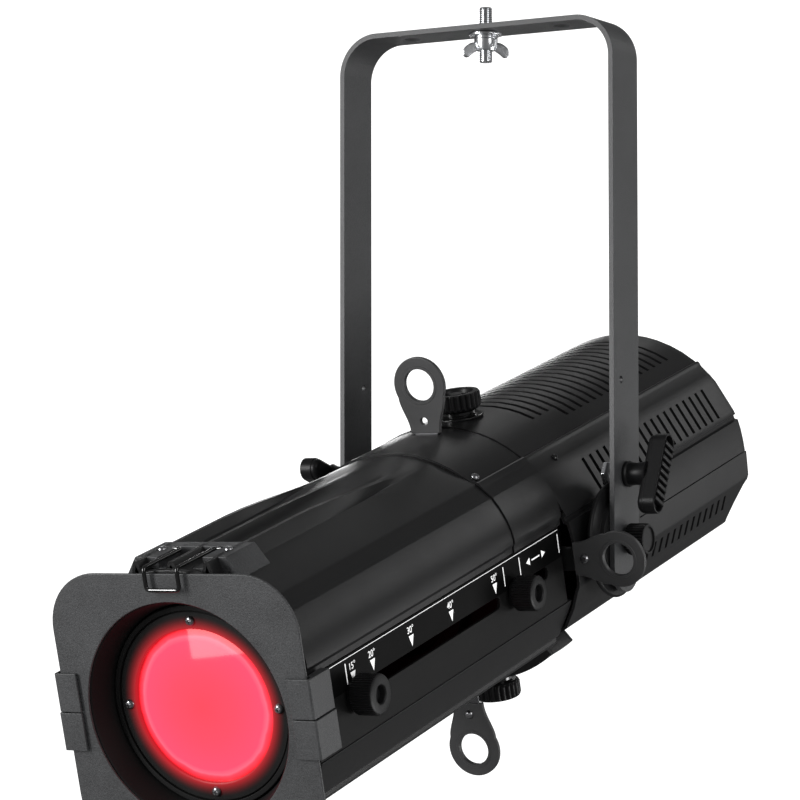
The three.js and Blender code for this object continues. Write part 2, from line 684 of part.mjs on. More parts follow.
const yoke = new THREE.Group();
yoke.add(mesh('yoke', makeYoke(), YOKE_PAINT));
yoke.add(mesh('hanging_bolt', rodZ(BOLT, -26, 15, 0, 0, 12), STEEL));
const washer = cut(rodZ(12.5, -STRIP - 2.3, -STRIP - GAP, 0, 0, 20), rodZ(BOLT + GAP, -20, 0, 0, 0, 12));
yoke.add(mesh('bolt_washer', washer, STEEL));
yoke.add(mesh('wing_nut', makeWingNut(), STEEL));
spotlight.add(yoke);

const pivot = new THREE.Group();
pivot.position.z = -AXIS_DROP;
pivot.add(mesh('pivot_knob_right', makePivotKnob(1), PLASTIC));
pivot.add(mesh('pivot_knob_left', makePivotKnob(-1), PLASTIC));
const clamps = new THREE.Group();
clamps.position.z = CLAMP_RISE;
clamps.add(mesh('t_handle_right', makeTHandle(1, 32), PLASTIC));
clamps.add(mesh('t_handle_left', makeTHandle(-1, -74), PLASTIC));
clamps.add(mesh('clamp_nut_right', makeClampNut(1), STEEL));
clamps.add(mesh('clamp_nut_left', makeClampNut(-1), STEEL));
pivot.add(clamps);
spotlight.add(pivot);

const lamp = new THREE.Group();
lamp.position.z = -AXIS_DROP;
lamp.rotation.x = THREE.MathUtils.degToRad(REST_TILT);
lamp.add(mesh('housing_top', makeHousing(true), PAINT));
lamp.add(mesh('housing_bottom', makeHousing(false), PAINT));
lamp.add(mesh('friction_disc_right', makeFrictionDisc(1), PLASTIC));
lamp.add(mesh('friction_disc_left', makeFrictionDisc(-1), PLASTIC));
lamp.add(mesh('rear_panel', makeRearPanel(), PAINT));
lamp.add(mesh('display_window', makeDisplayWindow(), GLOSS));
BUTTON_X.forEach((x, i) => {
  lamp.add(mesh(`menu_button_${i + 1}`, rodY(BUTTON_R, PANEL_Y - 8, PANEL_Y + 2.6, x, BUTTON_Z, 10), RUBBER));
});
lamp.add(mesh('power_inlet', makeSocket(POWER, POWER.inlet), CONNECTOR));
lamp.add(mesh('power_outlet', makeSocket(POWER, POWER.outlet), ALUMINIUM));
lamp.add(mesh('data_inlet', makeSocket(DATA, DATA.inlet), STEEL));
lamp.add(mesh('data_outlet', makeSocket(DATA, DATA.outlet), STEEL));
lamp.add(mesh('fuse_cap', makeFuseCap(), PLASTIC));
lamp.add(mesh('rotation_knob_top', makeLockKnob(true), PLASTIC));
lamp.add(mesh('rotation_knob_bottom', makeLockKnob(false), PLASTIC));
lamp.add(mesh('led_board', rodY(34, 95.6, 99, 0, 0, 24), BOARD));
lamp.add(mesh('led_emitter', rodY(13, 93.6, 95.3, 0, 0, 20), PHOSPHOR));
const reflector = turned([[20, 93], [24, 93], [44, 62], [44, 34], [40.5, 34], [40.5, 61]], 24);
lamp.add(mesh('condenser_holder', reflector, ALUMINIUM));
lamp.add(mesh('condenser_lens', makeLens(40, 36, 44, 50, 58), GLASS));
lamp.add(mesh('heatsink', makeHeatsink(), ALUMINIUM));
lamp.add(mesh('fan_frame', makeFanFrame(), PLASTIC));
lamp.add(mesh('fan_rotor', makeFanRotor(), PLASTIC));
lamp.add(mesh('power_supply', block(-38, 38, 20, 160, -73, -49.5), ALUMINIUM));
lamp.add(mesh('control_board', block(-60, 60, 205, 206.8, -40, 62), BOARD));

const barrel = new THREE.Group();
barrel.add(mesh('gate_carrier', makeGateCarrier(), ALUMINIUM));
barrel.add(mesh('gate_front_plate', makeGateFront(), ALUMINIUM));
barrel.add(mesh('barrel_cover_top', makeCoverTop(), PAINT));
barrel.add(mesh('gate_cover_top', makeGateCover(), PAINT));
barrel.add(mesh('barrel_cover_bottom', makeCoverBottom(), PAINT));
barrel.add(mesh('side_panel_right', makeSidePanel(1), GLOSS));
barrel.add(mesh('side_panel_left', makeSidePanel(-1), GLOSS));
barrel.add(mesh('guide_rod_top', rodY(ROD_R, -384.6, -71, 0, ROD_Z, 12), STEEL));
barrel.add(mesh('guide_rod_bottom', rodY(ROD_R, -384.6, -71, 0, -ROD_Z, 12), STEEL));
barrel.add(mesh('front_frame', makeFrontFrame(), PAINT));
barrel.add(mesh('latch_block', makeLatchBlock(), PAINT));
barrel.add(mesh('frame_latch', makeLatch(), STEEL));
barrel.add(mesh('colour_frame', makeColourFrame(), YOKE_PAINT));
for (const { name, turn, y, out } of SHUTTERS) {
  const shutter = mesh(name, makeShutter(out), PLASTIC);
  shutter.position.y = y;
  shutter.rotation.y = THREE.MathUtils.degToRad(-turn);
  barrel.add(shutter);
}
barrel.add(mesh('zoom_carriage', makeCarriage(ZOOM_PROFILE, ZOOM_Y), PLASTIC));
barrel.add(mesh('zoom_lens', makeLens(59.5, -391, -384.8, -378, -372), GLASS));
const retainer = turned([[51.5, -388.8], [63.6, -388.8], [63.4, -386.4], [51.5, -386.4]], 28);
barrel.add(mesh('lens_retainer', retainer, PAINT));
barrel.add(mesh('zoom_knob', makeKnob(ZOOM_KNOB_R, ZOOM_Y), PLASTIC));
barrel.add(mesh('focus_carriage', makeCarriage(FOCUS_PROFILE, FOCUS_Y), PLASTIC));
barrel.add(mesh('focus_lens', makeLens(53.5, -142, -138.5, -133, -127), GLASS));
barrel.add(mesh('focus_knob', makeKnob(FOCUS_KNOB_R, FOCUS_Y), PLASTIC));
lamp.add(barrel);
spotlight.add(lamp);

export default spotlight;
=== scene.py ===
import json
import math

import bmesh
import bpy
from mathutils import Matrix, Vector


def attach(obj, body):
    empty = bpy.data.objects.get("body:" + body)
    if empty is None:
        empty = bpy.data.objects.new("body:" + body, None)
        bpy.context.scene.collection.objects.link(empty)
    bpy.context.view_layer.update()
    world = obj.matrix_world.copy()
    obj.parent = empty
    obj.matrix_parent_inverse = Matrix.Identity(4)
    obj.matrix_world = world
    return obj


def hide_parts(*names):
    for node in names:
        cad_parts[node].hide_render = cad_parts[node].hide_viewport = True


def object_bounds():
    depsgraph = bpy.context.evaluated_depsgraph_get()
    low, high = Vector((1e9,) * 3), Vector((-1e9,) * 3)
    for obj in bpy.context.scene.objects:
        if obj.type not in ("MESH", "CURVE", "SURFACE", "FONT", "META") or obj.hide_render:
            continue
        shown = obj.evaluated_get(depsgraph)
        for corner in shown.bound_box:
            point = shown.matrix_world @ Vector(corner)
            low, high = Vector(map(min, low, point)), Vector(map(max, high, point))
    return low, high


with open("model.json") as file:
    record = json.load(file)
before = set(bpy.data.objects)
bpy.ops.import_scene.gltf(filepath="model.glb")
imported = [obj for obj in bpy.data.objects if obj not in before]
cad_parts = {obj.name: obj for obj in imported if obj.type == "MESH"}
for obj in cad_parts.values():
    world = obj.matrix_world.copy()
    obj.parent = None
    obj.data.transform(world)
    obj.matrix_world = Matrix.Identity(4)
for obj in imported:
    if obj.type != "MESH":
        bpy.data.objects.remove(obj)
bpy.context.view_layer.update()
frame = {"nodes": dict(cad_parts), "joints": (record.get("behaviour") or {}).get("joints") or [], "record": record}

# Lengths in this script are millimetres. LAMP, ARM and ROW place them in the frame, in metres.
JOINTS = {joint["name"]: joint for joint in frame["joints"]}
PIVOT = Vector(JOINTS["tilt"]["pos_m"])
BEAM = Vector(JOINTS["barrel_rotation"]["axis"])
TILT = math.atan2(BEAM.z, BEAM.y)
ROW = Matrix.Scale(0.001, 4)
ARM = Matrix.Translation(PIVOT) @ ROW
LAMP = Matrix.Translation(PIVOT) @ Matrix.Rotation(TILT, 4, "X") @ ROW

# where a flat drawing (a, b) and its height h go
UP = Matrix.Identity(4)
BACK = Matrix(((1, 0, 0, 0), (0, 0, 1, 0), (0, 1, 0, 0), (0, 0, 0, 1)))
SIDE = Matrix(((0, 0, 1, 0), (1, 0, 0, 0), (0, 1, 0, 0), (0, 0, 0, 1)))
MIRROR = Matrix.Diagonal((-1, 1, 1, 1))
FLIP = Matrix.Diagonal((1, 1, -1, 1))


def at(x, y, z):
    return Matrix.Translation((x, y, z))


def turn(degrees, axis):
    return Matrix.Rotation(math.radians(degrees), 4, axis)


def span(node, place=LAMP):
    """Lowest and highest corner of a CAD node in a placing's own millimetres."""
    back = place.inverted()
    points = [back @ vertex.co for vertex in frame["nodes"][node].data.vertices]
    low = Vector([min(p[k] for p in points) for k in range(3)])
    high = Vector([max(p[k] for p in points) for k in range(3)])
    return low, high


def middle(node, place=LAMP):
    low, high = span(node, place)
    return (low + high) / 2


# ---------- materials ----------
COAT_ROUGH = 0.08
BROAD_SCALE = 22  # of the slow unevenness, per metre
GRAIN_HEIGHT = 0.0002
GLOW_FALL = 2.2


def add_node(made, kind, operation=None, **values):
    """Adds a shader node. Values are its inputs by name, with underscores for spaces.
    factor is its second input."""
    added = made.node_tree.nodes.new(f"ShaderNode{kind}")
    if operation:
        added.operation = operation
    if "factor" in values:
        added.inputs[1].default_value = values.pop("factor")
    for name, value in values.items():
        added.inputs[name.replace("_", " ")].default_value = value
    return added


def find_node(made, kind):
    return next(n for n in made.node_tree.nodes if n.type == kind)


def wire(made, *pairs):
    for source, target in pairs:
        made.node_tree.links.new(source, target)


def surface(name, color, rough, metal=0.0, grain=0.25, size=0.5, mottle=0.25, coat=0.0, spec=0.5, fleck=0.45):
    """Painted, moulded or plated surface: size is the grain in mm, grain its depth, mottle its unevenness.
    fleck is the share of the fine grain in the colour."""
    made = bpy.data.materials.new(name)
    made.use_nodes = True
    shader = find_node(made, "BSDF_PRINCIPLED")
    shader.inputs["Metallic"].default_value = metal
    shader.inputs["Coat Weight"].default_value = coat
    shader.inputs["Coat Roughness"].default_value = COAT_ROUGH
    shader.inputs["Specular IOR Level"].default_value = spec
    place = add_node(made, "TexCoord")
    fine = add_node(made, "TexNoise", Scale=1000 / size, Detail=3)
    broad = add_node(made, "TexNoise", Scale=BROAD_SCALE, Detail=6, Roughness=0.65)
    tint = add_node(made, "ValToRGB")
    for stop, spot, share in zip(tint.color_ramp.elements, (0.3, 0.7), (1 - mottle, 1 + mottle)):
        stop.position = spot
        stop.color = [*[c * share for c in color], 1]
    blend = add_node(made, "Math", "MULTIPLY_ADD", factor=fleck)
    rest = add_node(made, "Math", "MULTIPLY", factor=1 - fleck)
    gloss = add_node(made, "MapRange", To_Min=max(0.03, rough * 0.8), To_Max=min(1.0, rough * 1.2))
    bump = add_node(made, "Bump", Strength=grain, Distance=GRAIN_HEIGHT)
    wire(made,
         (place.outputs["Object"], fine.inputs["Vector"]),
         (place.outputs["Object"], broad.inputs["Vector"]),
         (fine.outputs["Fac"], blend.inputs[0]),
         (broad.outputs["Fac"], rest.inputs[0]),
         (rest.outputs[0], blend.inputs[2]),
         (blend.outputs[0], tint.inputs["Fac"]),
         (tint.outputs["Color"], shader.inputs["Base Color"]),
         (broad.outputs["Fac"], gloss.inputs["Value"]),
         (gloss.outputs["Result"], shader.inputs["Roughness"]),
         (fine.outputs["Fac"], bump.inputs["Height"]),
         (bump.outputs["Normal"], shader.inputs["Normal"]))
    return made


def brushed(name, color, rough):
    """Turned or plated metal with fine stretched scratches."""
    made = surface(name, color, rough, metal=1.0, grain=0.18, size=0.35, mottle=0.12)
    stretch = add_node(made, "Mapping", Scale=(1, 1, 0.08))
    fine = find_node(made, "TEX_NOISE")
    wire(made,
         (find_node(made, "TEX_COORD").outputs["Object"], stretch.inputs["Vector"]),
         (stretch.outputs["Vector"], fine.inputs["Vector"]))
    return made


def glow_ring(made, centre, start, end, color):
    """Adds the lens's light spilling onto a part: full at the start radius and gone at the end radius."""
    shader = find_node(made, "BSDF_PRINCIPLED")
    offset = add_node(made, "VectorMath", "DISTANCE", factor=centre)
    fade = add_node(made, "MapRange", From_Min=start, From_Max=end, To_Min=1, To_Max=0)
    curve = add_node(made, "Math", "POWER", factor=GLOW_FALL)
    wire(made,
         (find_node(made, "TEX_COORD").outputs["Object"], offset.inputs[0]),
         (offset.outputs["Value"], fade.inputs["Value"]),
         (fade.outputs["Result"], curve.inputs[0]),
         (curve.outputs[0], shader.inputs["Emission Strength"]))
    shader.inputs["Emission Color"].default_value = (*color, 1)


def lit_glass(name, centre, radius):
    """A lens lit from behind: pink in the middle, a pale ring near its rim and deep red at the rim."""
    made = surface(name, (0.25, 0.01, 0.015), 0.05, grain=0.0, mottle=0.1, coat=0.35)
    shader = find_node(made, "BSDF_PRINCIPLED")
    place = find_node(made, "TEX_COORD").outputs["Object"]
    offset = add_node(made, "VectorMath", "DISTANCE", factor=centre)
    wave = add_node(made, "TexNoise", Scale=60, Detail=4)
    share = add_node(made, "Math", "DIVIDE", factor=radius)
    mixed = add_node(made, "Math", "MULTIPLY_ADD", factor=0.06)
    glow = add_node(made, "ValToRGB")
    stops = glow.color_ramp.elements
    stops[0].color = (1.0, 0.052, 0.085, 1)
    stops[-1].color = (0.3, 0.003, 0.006, 1)
    for spot, color in ((0.45, (1.0, 0.06, 0.11)), (0.84, (1.0, 0.07, 0.15)), (0.9, (1.0, 0.14, 0.22)),
                        (0.925, (1.0, 0.05, 0.09)), (0.985, (0.6, 0.006, 0.012))):
        stops.new(spot).color = (*color, 1)
    wire(made,
         (place, offset.inputs[0]),
         (place, wave.inputs["Vector"]),
         (offset.outputs["Value"], share.inputs[0]),
         (wave.outputs["Fac"], mixed.inputs[0]),
         (share.outputs[0], mixed.inputs[2]),
         (mixed.outputs[0], glow.inputs["Fac"]),
         (glow.outputs["Color"], shader.inputs["Emission Color"]))
    shader.inputs["Emission Strength"].default_value = 1.0
    return made


PAINT = surface("satin_black_paint", (0.006, 0.006, 0.0062), 0.36, grain=0.14, size=0.45, mottle=0.12,
                spec=0.2)
# matt black for the side panels, also used as painted shade on the casting's inner and recessed faces
MATT_BLACK_AND_SHADE = surface("matt_black_panel_and_shade", (0.004, 0.004, 0.004), 0.42, grain=0.2, size=0.4, spec=0.06)
POWDER = surface("grey_powder_coat", (0.023, 0.0235, 0.0245), 0.48, grain=1.0, size=1.0, mottle=0.5,
                 spec=0.35, fleck=0.6)
NYLON = surface("black_nylon", (0.004, 0.004, 0.0042), 0.38, grain=0.3, size=0.6, spec=0.14)
GLOSS = surface("gloss_black", (0.001, 0.001, 0.001), 0.1, grain=0.02, mottle=0.2, coat=0.15, spec=0.15)
GRIP = surface("satin_handle_plastic", (0.02, 0.02, 0.0205), 0.42, grain=0.3, size=0.6, spec=0.35)
LABEL = surface("black_scale_label", (0.0015, 0.0015, 0.0015), 0.4, grain=0.04, mottle=0.2, spec=0.03)
RUBBER = surface("black_rubber", (0.012, 0.012, 0.012), 0.7, grain=0.3, spec=0.2)
ZINC = brushed("zinc_plate", (0.66, 0.67, 0.69), 0.26)
# screw heads: a steel colour darkened well below the plated zinc, as painted shade on the heads
SHADED_STEEL = brushed("shaded_steel_screws", (0.3, 0.3, 0.31), 0.3)
BLACK_METAL = surface("black_chrome", (0.003, 0.003, 0.003), 0.16, grain=0.03, coat=0.3, spec=0.4)
BLADE = brushed("blade_steel", (0.14, 0.14, 0.145), 0.35)
ALUMINIUM = brushed("bare_aluminium", (0.5, 0.51, 0.53), 0.36)
BLUE = surface("blue_plastic", (0.02, 0.08, 0.36), 0.38)
GREY = surface("grey_plastic", (0.3, 0.31, 0.33), 0.42)
BOARD = surface("circuit_board", (0.012, 0.09, 0.035), 0.35, size=1.4, mottle=0.5)
PHOSPHOR = surface("led_phosphor", (0.75, 0.55, 0.06), 0.6)
INK = surface("white_ink", (0.8, 0.8, 0.8), 0.5, grain=0.1, mottle=0.04)
TUBE = surface("matt_tube_black", (0.003, 0.003, 0.003), 0.6, grain=0.3, spec=0.15)

SLOT_MATERIAL = {
    "yoke_paint": POWDER, "zinc_steel": ZINC, "black_plastic": NYLON, "black_casting": PAINT,
    "gloss_black": GLOSS, "black_rubber": RUBBER, "blue_plastic": BLUE, "grey_plastic": GREY,
    "circuit_board": BOARD, "phosphor": PHOSPHOR, "bare_aluminium": ALUMINIUM, "lens_glass": GLOSS,
}
for entry in frame["record"]["subparts"]:
    node = frame["nodes"][entry["node"]]
    node.data.materials.clear()
    node.data.materials.append(SLOT_MATERIAL[entry["material_slot"]])

# the slot and material of a piece
CAST = ("black_casting", PAINT)
# the casting's slot with a darker, duller black: painted shade for inner and recessed faces
SHADED_CAST = ("black_casting", MATT_BLACK_AND_SHADE)
MOULDED = ("black_plastic", NYLON)
COATED = ("yoke_paint", POWDER)
PLATED = ("zinc_steel", ZINC)
SCREW = ("zinc_steel", SHADED_STEEL)
DARK_STEEL = ("zinc_steel", BLACK_METAL)
SIDE_PANEL = ("gloss_black", MATT_BLACK_AND_SHADE)
PRINT = ("gloss_black", INK)


# ---------- drawing ----------
def arc(radius, start, end, steps, centre=(0, 0)):
    angles = [math.radians(start + (end - start) * i / steps) for i in range(steps + 1)]
    return [(centre[0] + radius * math.cos(a), centre[1] + radius * math.sin(a)) for a in angles]


def circle(radius, centre=(0, 0), steps=40):
    return arc(radius, 0, 360 * (1 - 1 / steps), steps - 1, centre)


def capsule(length, width, steps=10):
    reach = (length - width) / 2
    return arc(width / 2, 0, 180, steps, (0, reach)) + arc(width / 2, 180, 360, steps, (0, -reach))


def rectangle(x0, x1, y0, y1):
    return [(x0, y0), (x1, y0), (x1, y1), (x0, y1)]


def fillet(points, radius, steps=4):
    """A closed outline with its corners rounded."""
    made = []
    for i, point in enumerate(points):
        corner = Vector(point)
        before = Vector(points[i - 1]) - corner
        after = Vector(points[(i + 1) % len(points)]) - corner
        reach = min(radius, before.length * 0.45, after.length * 0.45)
        start = corner + before.normalized() * reach
        end = corner + after.normalized() * reach
        for k in range(steps + 1):
            t = k / steps
            made.append(tuple(start * (1 - t) ** 2 + corner * 2 * t * (1 - t) + end * t * t))
    return made


def add_object(name, data):
    added = bpy.data.objects.new(name, data)
    bpy.context.scene.collection.objects.link(added)
    return added


def drawn_mesh(holder):
    """The mesh an object ends up with."""
    bpy.context.view_layer.update()
    return bpy.data.meshes.new_from_object(holder.evaluated_get(bpy.context.evaluated_depsgraph_get()))


def skin(made, rings, capped=True):
    """Faces between closed rings of vertices, and one over each end."""
    for ring, after in zip(rings, rings[1:]):
        count = len(ring)
        for k in range(count):
            made.faces.new((ring[k], ring[(k + 1) % count], after[(k + 1) % count], after[k]))
    if capped:
        made.faces.new(rings[0])
        made.faces.new(rings[-1])


def prism(loops, low, high, axis=UP, bevel=0.0, steps=2):
    """A plate between two heights: the first loop is its outline and the others are holes."""
    curve = bpy.data.curves.new("drawing", "CURVE")
    curve.dimensions = "2D"
    curve.fill_mode = "BOTH"
    curve.extrude = (high - low) / 2 - bevel
    curve.bevel_depth = bevel
    curve.bevel_resolution = steps
    curve.offset = -bevel
    for loop in loops:
        spline = curve.splines.new("POLY")
        spline.points.add(len(loop) - 1)
        for point, (a, b) in zip(spline.points, loop):
            point.co = (a, b, 0, 1)
        spline.use_cyclic_u = True
    holder = add_object("drawing", curve)
    made = drawn_mesh(holder)
    bpy.data.objects.remove(holder)
    made.transform(axis @ at(0, 0, (low + high) / 2))
    return made


def lathe(profile, axis=UP, sides=72, wave=None):
    """A closed profile of (radius, height) turned about the axis. wave(k, angle) adds to point k's radius."""
    rings = []
    made = bmesh.new()
    for step in range(sides):
        angle = 2 * math.pi * step / sides
        ring = []
        for k, (radius, height) in enumerate(profile):
            reach = radius + (wave(k, angle) if wave and radius > 0 else 0)
            ring.append(made.verts.new((reach * math.cos(angle), reach * math.sin(angle), height)))
        rings.append(ring)
    closed = profile[0][0] > 0 or profile[-1][0] > 0
    count = len(profile)
    for step in range(sides):
        ring, after = rings[step], rings[(step + 1) % sides]
        for k in range(count if closed else count - 1):
            n = (k + 1) % count
            made.faces.new((ring[k], after[k], after[n], ring[n]))
    bmesh.ops.remove_doubles(made, verts=made.verts, dist=1e-4)
    return to_mesh(made, axis)


def to_mesh(made, axis=UP):
    mesh = bpy.data.meshes.new("part")
    made.to_mesh(mesh)
    made.free()
    mesh.transform(axis)
    return mesh


def shell(stations, open_cell=None):
    """An open sheet through rows of points. open_cell(i, j) leaves out a cell."""
    made = bmesh.new()
    rows = [[made.verts.new(point) for point in row] for row in stations]
    for i in range(len(rows) - 1):
        for j in range(len(rows[0]) - 1):
            if not (open_cell and open_cell(i, j)):
                made.faces.new((rows[i][j], rows[i][j + 1], rows[i + 1][j + 1], rows[i + 1][j]))
    return to_mesh(made)


def move(mesh, *places):
    for place in places:
        mesh.transform(place)
    return mesh


def merge(*meshes):
    made = bmesh.new()
    for mesh in meshes:
        made.from_mesh(mesh)
    return to_mesh(made)


def round_edges(added, width, segments, angle):
    bevel = added.modifiers.new("edges", "BEVEL")
    bevel.width = width / 1000
    bevel.segments = segments
    bevel.limit_method = "ANGLE"
    bevel.angle_limit = math.radians(angle)


def piece(name, mesh, body, look, replaces=(), place=LAMP, bevel=0.0, sheet=0.0, sharp=32):
    """Adds a finished piece: bevel rounds its edges, and sheet gives an open sheet its thickness inwards.
    look is its slot and material."""
    mesh.transform(place)
    made = bmesh.new()
    made.from_mesh(mesh)
    bmesh.ops.remove_doubles(made, verts=made.verts, dist=2e-6)
    if sheet:
        centre = place @ Vector((0, 0, 0))
        axis = (place.to_3x3() @ Vector((0, 1, 0))).normalized()
        outward = 0.0
        for face in made.faces:
            out = face.calc_center_median() - centre
            out -= axis * out.dot(axis)
            outward += face.normal.dot(out) * face.calc_area()
        if outward < 0:
            bmesh.ops.reverse_faces(made, faces=made.faces)
    else:
        bmesh.ops.recalc_face_normals(made, faces=made.faces)
    made.to_mesh(mesh)
    made.free()
    for face in mesh.polygons:
        face.use_smooth = True
    mesh.set_sharp_from_angle(angle=math.radians(sharp))
    mesh.name = name
    added = add_object(name, mesh)
    slot, material = look
    added.data.materials.append(material)
    if sheet:
        thick = added.modifiers.new("sheet", "SOLIDIFY")
        thick.thickness = sheet / 1000
        thick.offset = -1
        thick.use_even_offset = True
    if bevel:
        round_edges(added, bevel, 2, 32)
    weigh = added.modifiers.new("shading", "WEIGHTED_NORMAL")
    weigh.keep_sharp = not (bevel or sheet)
    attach(added, body)
    if replaces:
        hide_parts(*replaces)
    return added


def screw(radius, depth=0.35):
    """A pan head with a cross recess, its seat at height 0."""
    top = radius * 0.62
    profile = [(0, top * (1 - depth)), (radius * 0.34, top * (1 - depth)), (radius * 0.4, top * 0.97),
               (radius * 0.62, top * 0.9), (radius * 0.88, top * 0.55), (radius, top * 0.1), (radius, 0),
               (0, 0)]

    def cross(k, angle):
        if k not in (1, 2):
            return 0
        return -radius * 0.24 * (1 - abs(math.cos(2 * angle)) ** 3)

    return lathe(profile, sides=32, wave=cross)


def ribs(count, depth, rows):
    """Grip ribs for a lathe: the profile points in rows get a rounded wave."""
    return lambda k, angle: depth * (abs(math.cos(count * angle / 2)) - 1) if k in rows else 0


# ---------- sections ----------
# right half of a section in (x, z), from the side up to the top; the left half is its mirror
COVER_SIDE = [
    (88.4, 24.4), (88.4, 28.2), (89.9, 30.6), (89.9, 34), (88.9, 40), (86.4, 47.5), (82.2, 56), (77.4, 63.4),
    (76.8, 64.3), (75.2, 65.4), (74.2, 66.2), (67.4, 72.6), (66.6, 73.3), (65.4, 74), (58, 78), (47, 83.6),
    (35.6, 89.2),
]
RIDGES = [-27, 0, 27]
RIDGE_X = [33.4, 31, 28.6, 25.4, 23, 18.5, 8.5, 4, 1.6]
GATE_SIDE = [
    (88.8, 24.4), (88.8, 28.2), (90.2, 30.6), (90.2, 34), (89.2, 40), (86.8, 47.5), (82.6, 56), (77.8, 63.6),
    (77.2, 64.5), (71.5, 69.5), (70.6, 71.2), (67.6, 74.4), (66, 74.6), (64.8, 72.9),
]
HOUSING_SIDE_TOP = [
    (98, 0.4), (97.6, 9), (96.6, 18), (95.1, 25.6), (92.4, 26.4), (91.7, 29.2), (93.5, 30.2), (93, 31.6),
    (92.2, 33.6), (79.9, 57), (75.4, 62.9), (74.2, 64.1), (68.6, 70.4), (67.6, 73.1), (66.2, 73.9),
    (64.4, 73.4),
]
HOUSING_SIDE_LOW = [
    (98, -0.4), (97.8, -10), (97.4, -20), (96.6, -23), (94.8, -26.4), (90.4, -38.2), (87.4, -43.4),
    (83.6, -50), (82.2, -53),
    (79.8, -54.6), (70, -59.4), (57, -66.4), (44, -72.4), (30, -78), (15, -82), (0, -83.4),
]
COVER_SIDE_LOW = [
    (89.9, -31.4), (88.6, -35), (82, -47.4), (76.2, -57), (75, -58.4), (73, -59.4), (73.2, -62.6),
    (72, -64.4),
    (64, -68.6), (52, -74.4), (38, -80.4), (20, -85.6), (0, -87.4),
]


def mirrored(side, top=()):
    """A whole row of (x, z): right side up, over the top, left side down."""
    return list(side) + list(top) + [(-x, z) for x, z in reversed(side)]


def scaled(points, share):
    return [(x * share, z * share) for x, z in points]


def spaced(outline, gap):
    """A closed outline without the points closer than gap to the one before."""
    return [p for k, p in enumerate(outline) if (Vector(p) - Vector(outline[k - 1])).length > gap]


def top_arc(radius, start, steps):
    return arc(radius, start, 180 - start, steps)


def smooth_step(value, low, high):
    t = min(1.0, max(0.0, (value - low) / (high - low)))
    return t * t * (3 - 2 * t)


# ---------- yoke ----------
def build_yoke():
    low, high = span("yoke", ROW)
    half_width, half_strip = high.x, high.y
    strip, bend = 3.8, 31
    end = low.z

    def section(x, z, nx, nz, reach):
        inner = (x - nx * strip, z - nz * strip)
        return [(x, -reach, z), (x, reach, z), (inner[0], reach, inner[1]), (inner[0], -reach, inner[1])]

    path = []
    for k in range(15):
        a = math.radians(90 * k / 14)
        path.append((half_width, end + half_strip * (1 - math.cos(a)), 1, 0,
                     max(0.6, half_strip * math.sin(a))))
    for z in (end + 60, -200, -60):
        path.append((half_width, z, 1, 0, half_strip))
    for a in [90 * k / 20 for k in range(21)]:
        c, s = math.cos(math.radians(a)), math.sin(math.radians(a))
        path.append((half_width - bend + bend * c, -bend + bend * s, c, s, half_strip))
    path.append((40, 0, 0, 1, half_strip))
    path += [(-x, z, -nx, nz, reach) for x, z, nx, nz, reach in reversed(path)]
    made = bmesh.new()
    rings = [[made.verts.new(p) for p in section(*step)] for step in path]
    skin(made, rings)
    bmesh.ops.recalc_face_normals(made, faces=made.faces)
    body = piece("yoke_bracket", to_mesh(made), "yoke", COATED, ["yoke"], ROW)
    pivot_z = PIVOT.z * 1000
    clamp_z = JOINTS["t_handle_right_turn"]["pos_m"][2] * 1000
    drills = [(UP, 5.4, 0, 0, 0), (UP, 6.5, 63.3, 0, 0), (UP, 6.5, -63.3, 0, 0)]
    drills += [(SIDE, 4.5, s * half_width, 0, z) for s in (1, -1) for z in (pivot_z, clamp_z)]
    drills += [(SIDE, 2.7, s * half_width, -8.5 * s, pivot_z + 115) for s in (1, -1)]
    tools = [move(lathe([(0, -9), (r, -9), (r, 9), (0, 9)], axis, sides=40), at(x, y, z))
             for axis, r, x, y, z in drills]
    cutter = add_object("cutter", move(merge(*tools), ROW))
    drill = body.modifiers.new("holes", "BOOLEAN")
    drill.operation = "DIFFERENCE"
    drill.solver = "EXACT"
    drill.object = cutter
    round_edges(body, 0.7, 3, 40)
    weigh = body.modifiers.new("face_shading", "WEIGHTED_NORMAL")
    weigh.keep_sharp = False
    body.modifiers.remove(body.modifiers["shading"])
    whole = drawn_mesh(body)
    body.modifiers.clear()
    body.data = whole
    bpy.data.objects.remove(cutter)


def thread(radius, pitch, low, high, sides=28):
    """A screw thread as a stack of turned crests."""
    profile = [(0, low)]
    height = low
    while height < high - pitch:
        profile += [(radius - 0.5, height), (radius, height + pitch * 0.4), (radius, height + pitch * 0.6)]
        height += pitch
    profile += [(radius - 0.6, high), (0, high)]
    return lathe(profile, sides=sides)


def build_hanger():
    low, high = span("hanging_bolt", ROW)
    bolt = thread(4.85, 1.5, low.z, high.z)
    piece("clamp_bolt", bolt, "yoke", PLATED, ["hanging_bolt"], ROW)
    low, high = span("bolt_washer", ROW)
    washer = lathe([(5.2, low.z), (12.3, low.z), (12.5, low.z + 0.3), (12.5, high.z - 0.3), (12.3, high.z),
                    (5.2, high.z)])
    spring = lathe([(5.2, low.z - 2.2), (8.8, low.z - 2.2), (8.8, low.z - 0.1), (5.2, low.z - 0.1)])
    piece("washers", merge(washer, spring), "yoke", PLATED, ["bolt_washer"], ROW, bevel=0.2)
    low, high = span("wing_nut", ROW)
    top = high.z - 1.9
    hub = lathe([(5.2, top), (8.7, top), (8.9, top - 1), (8.2, top - 6), (7, top - 9), (5.2, top - 9)])
    outline = fillet([(5.6, top - 8.6), (6.4, top - 2.4), (12, top - 3.2), (17.2, top - 7.4),
                      (17.4, top - 13.2),
                      (13.6, top - 14.6), (10.4, top - 11.4)], 3.4)
    wing = prism([outline], -1.7, 1.7, BACK, bevel=0.9)
    nut = merge(hub, wing, move(wing.copy(), MIRROR))
    piece("wing_nut_cast", move(nut, turn(38, "Z")), "wing_nut", PLATED, ["wing_nut"], ROW, bevel=0.3)


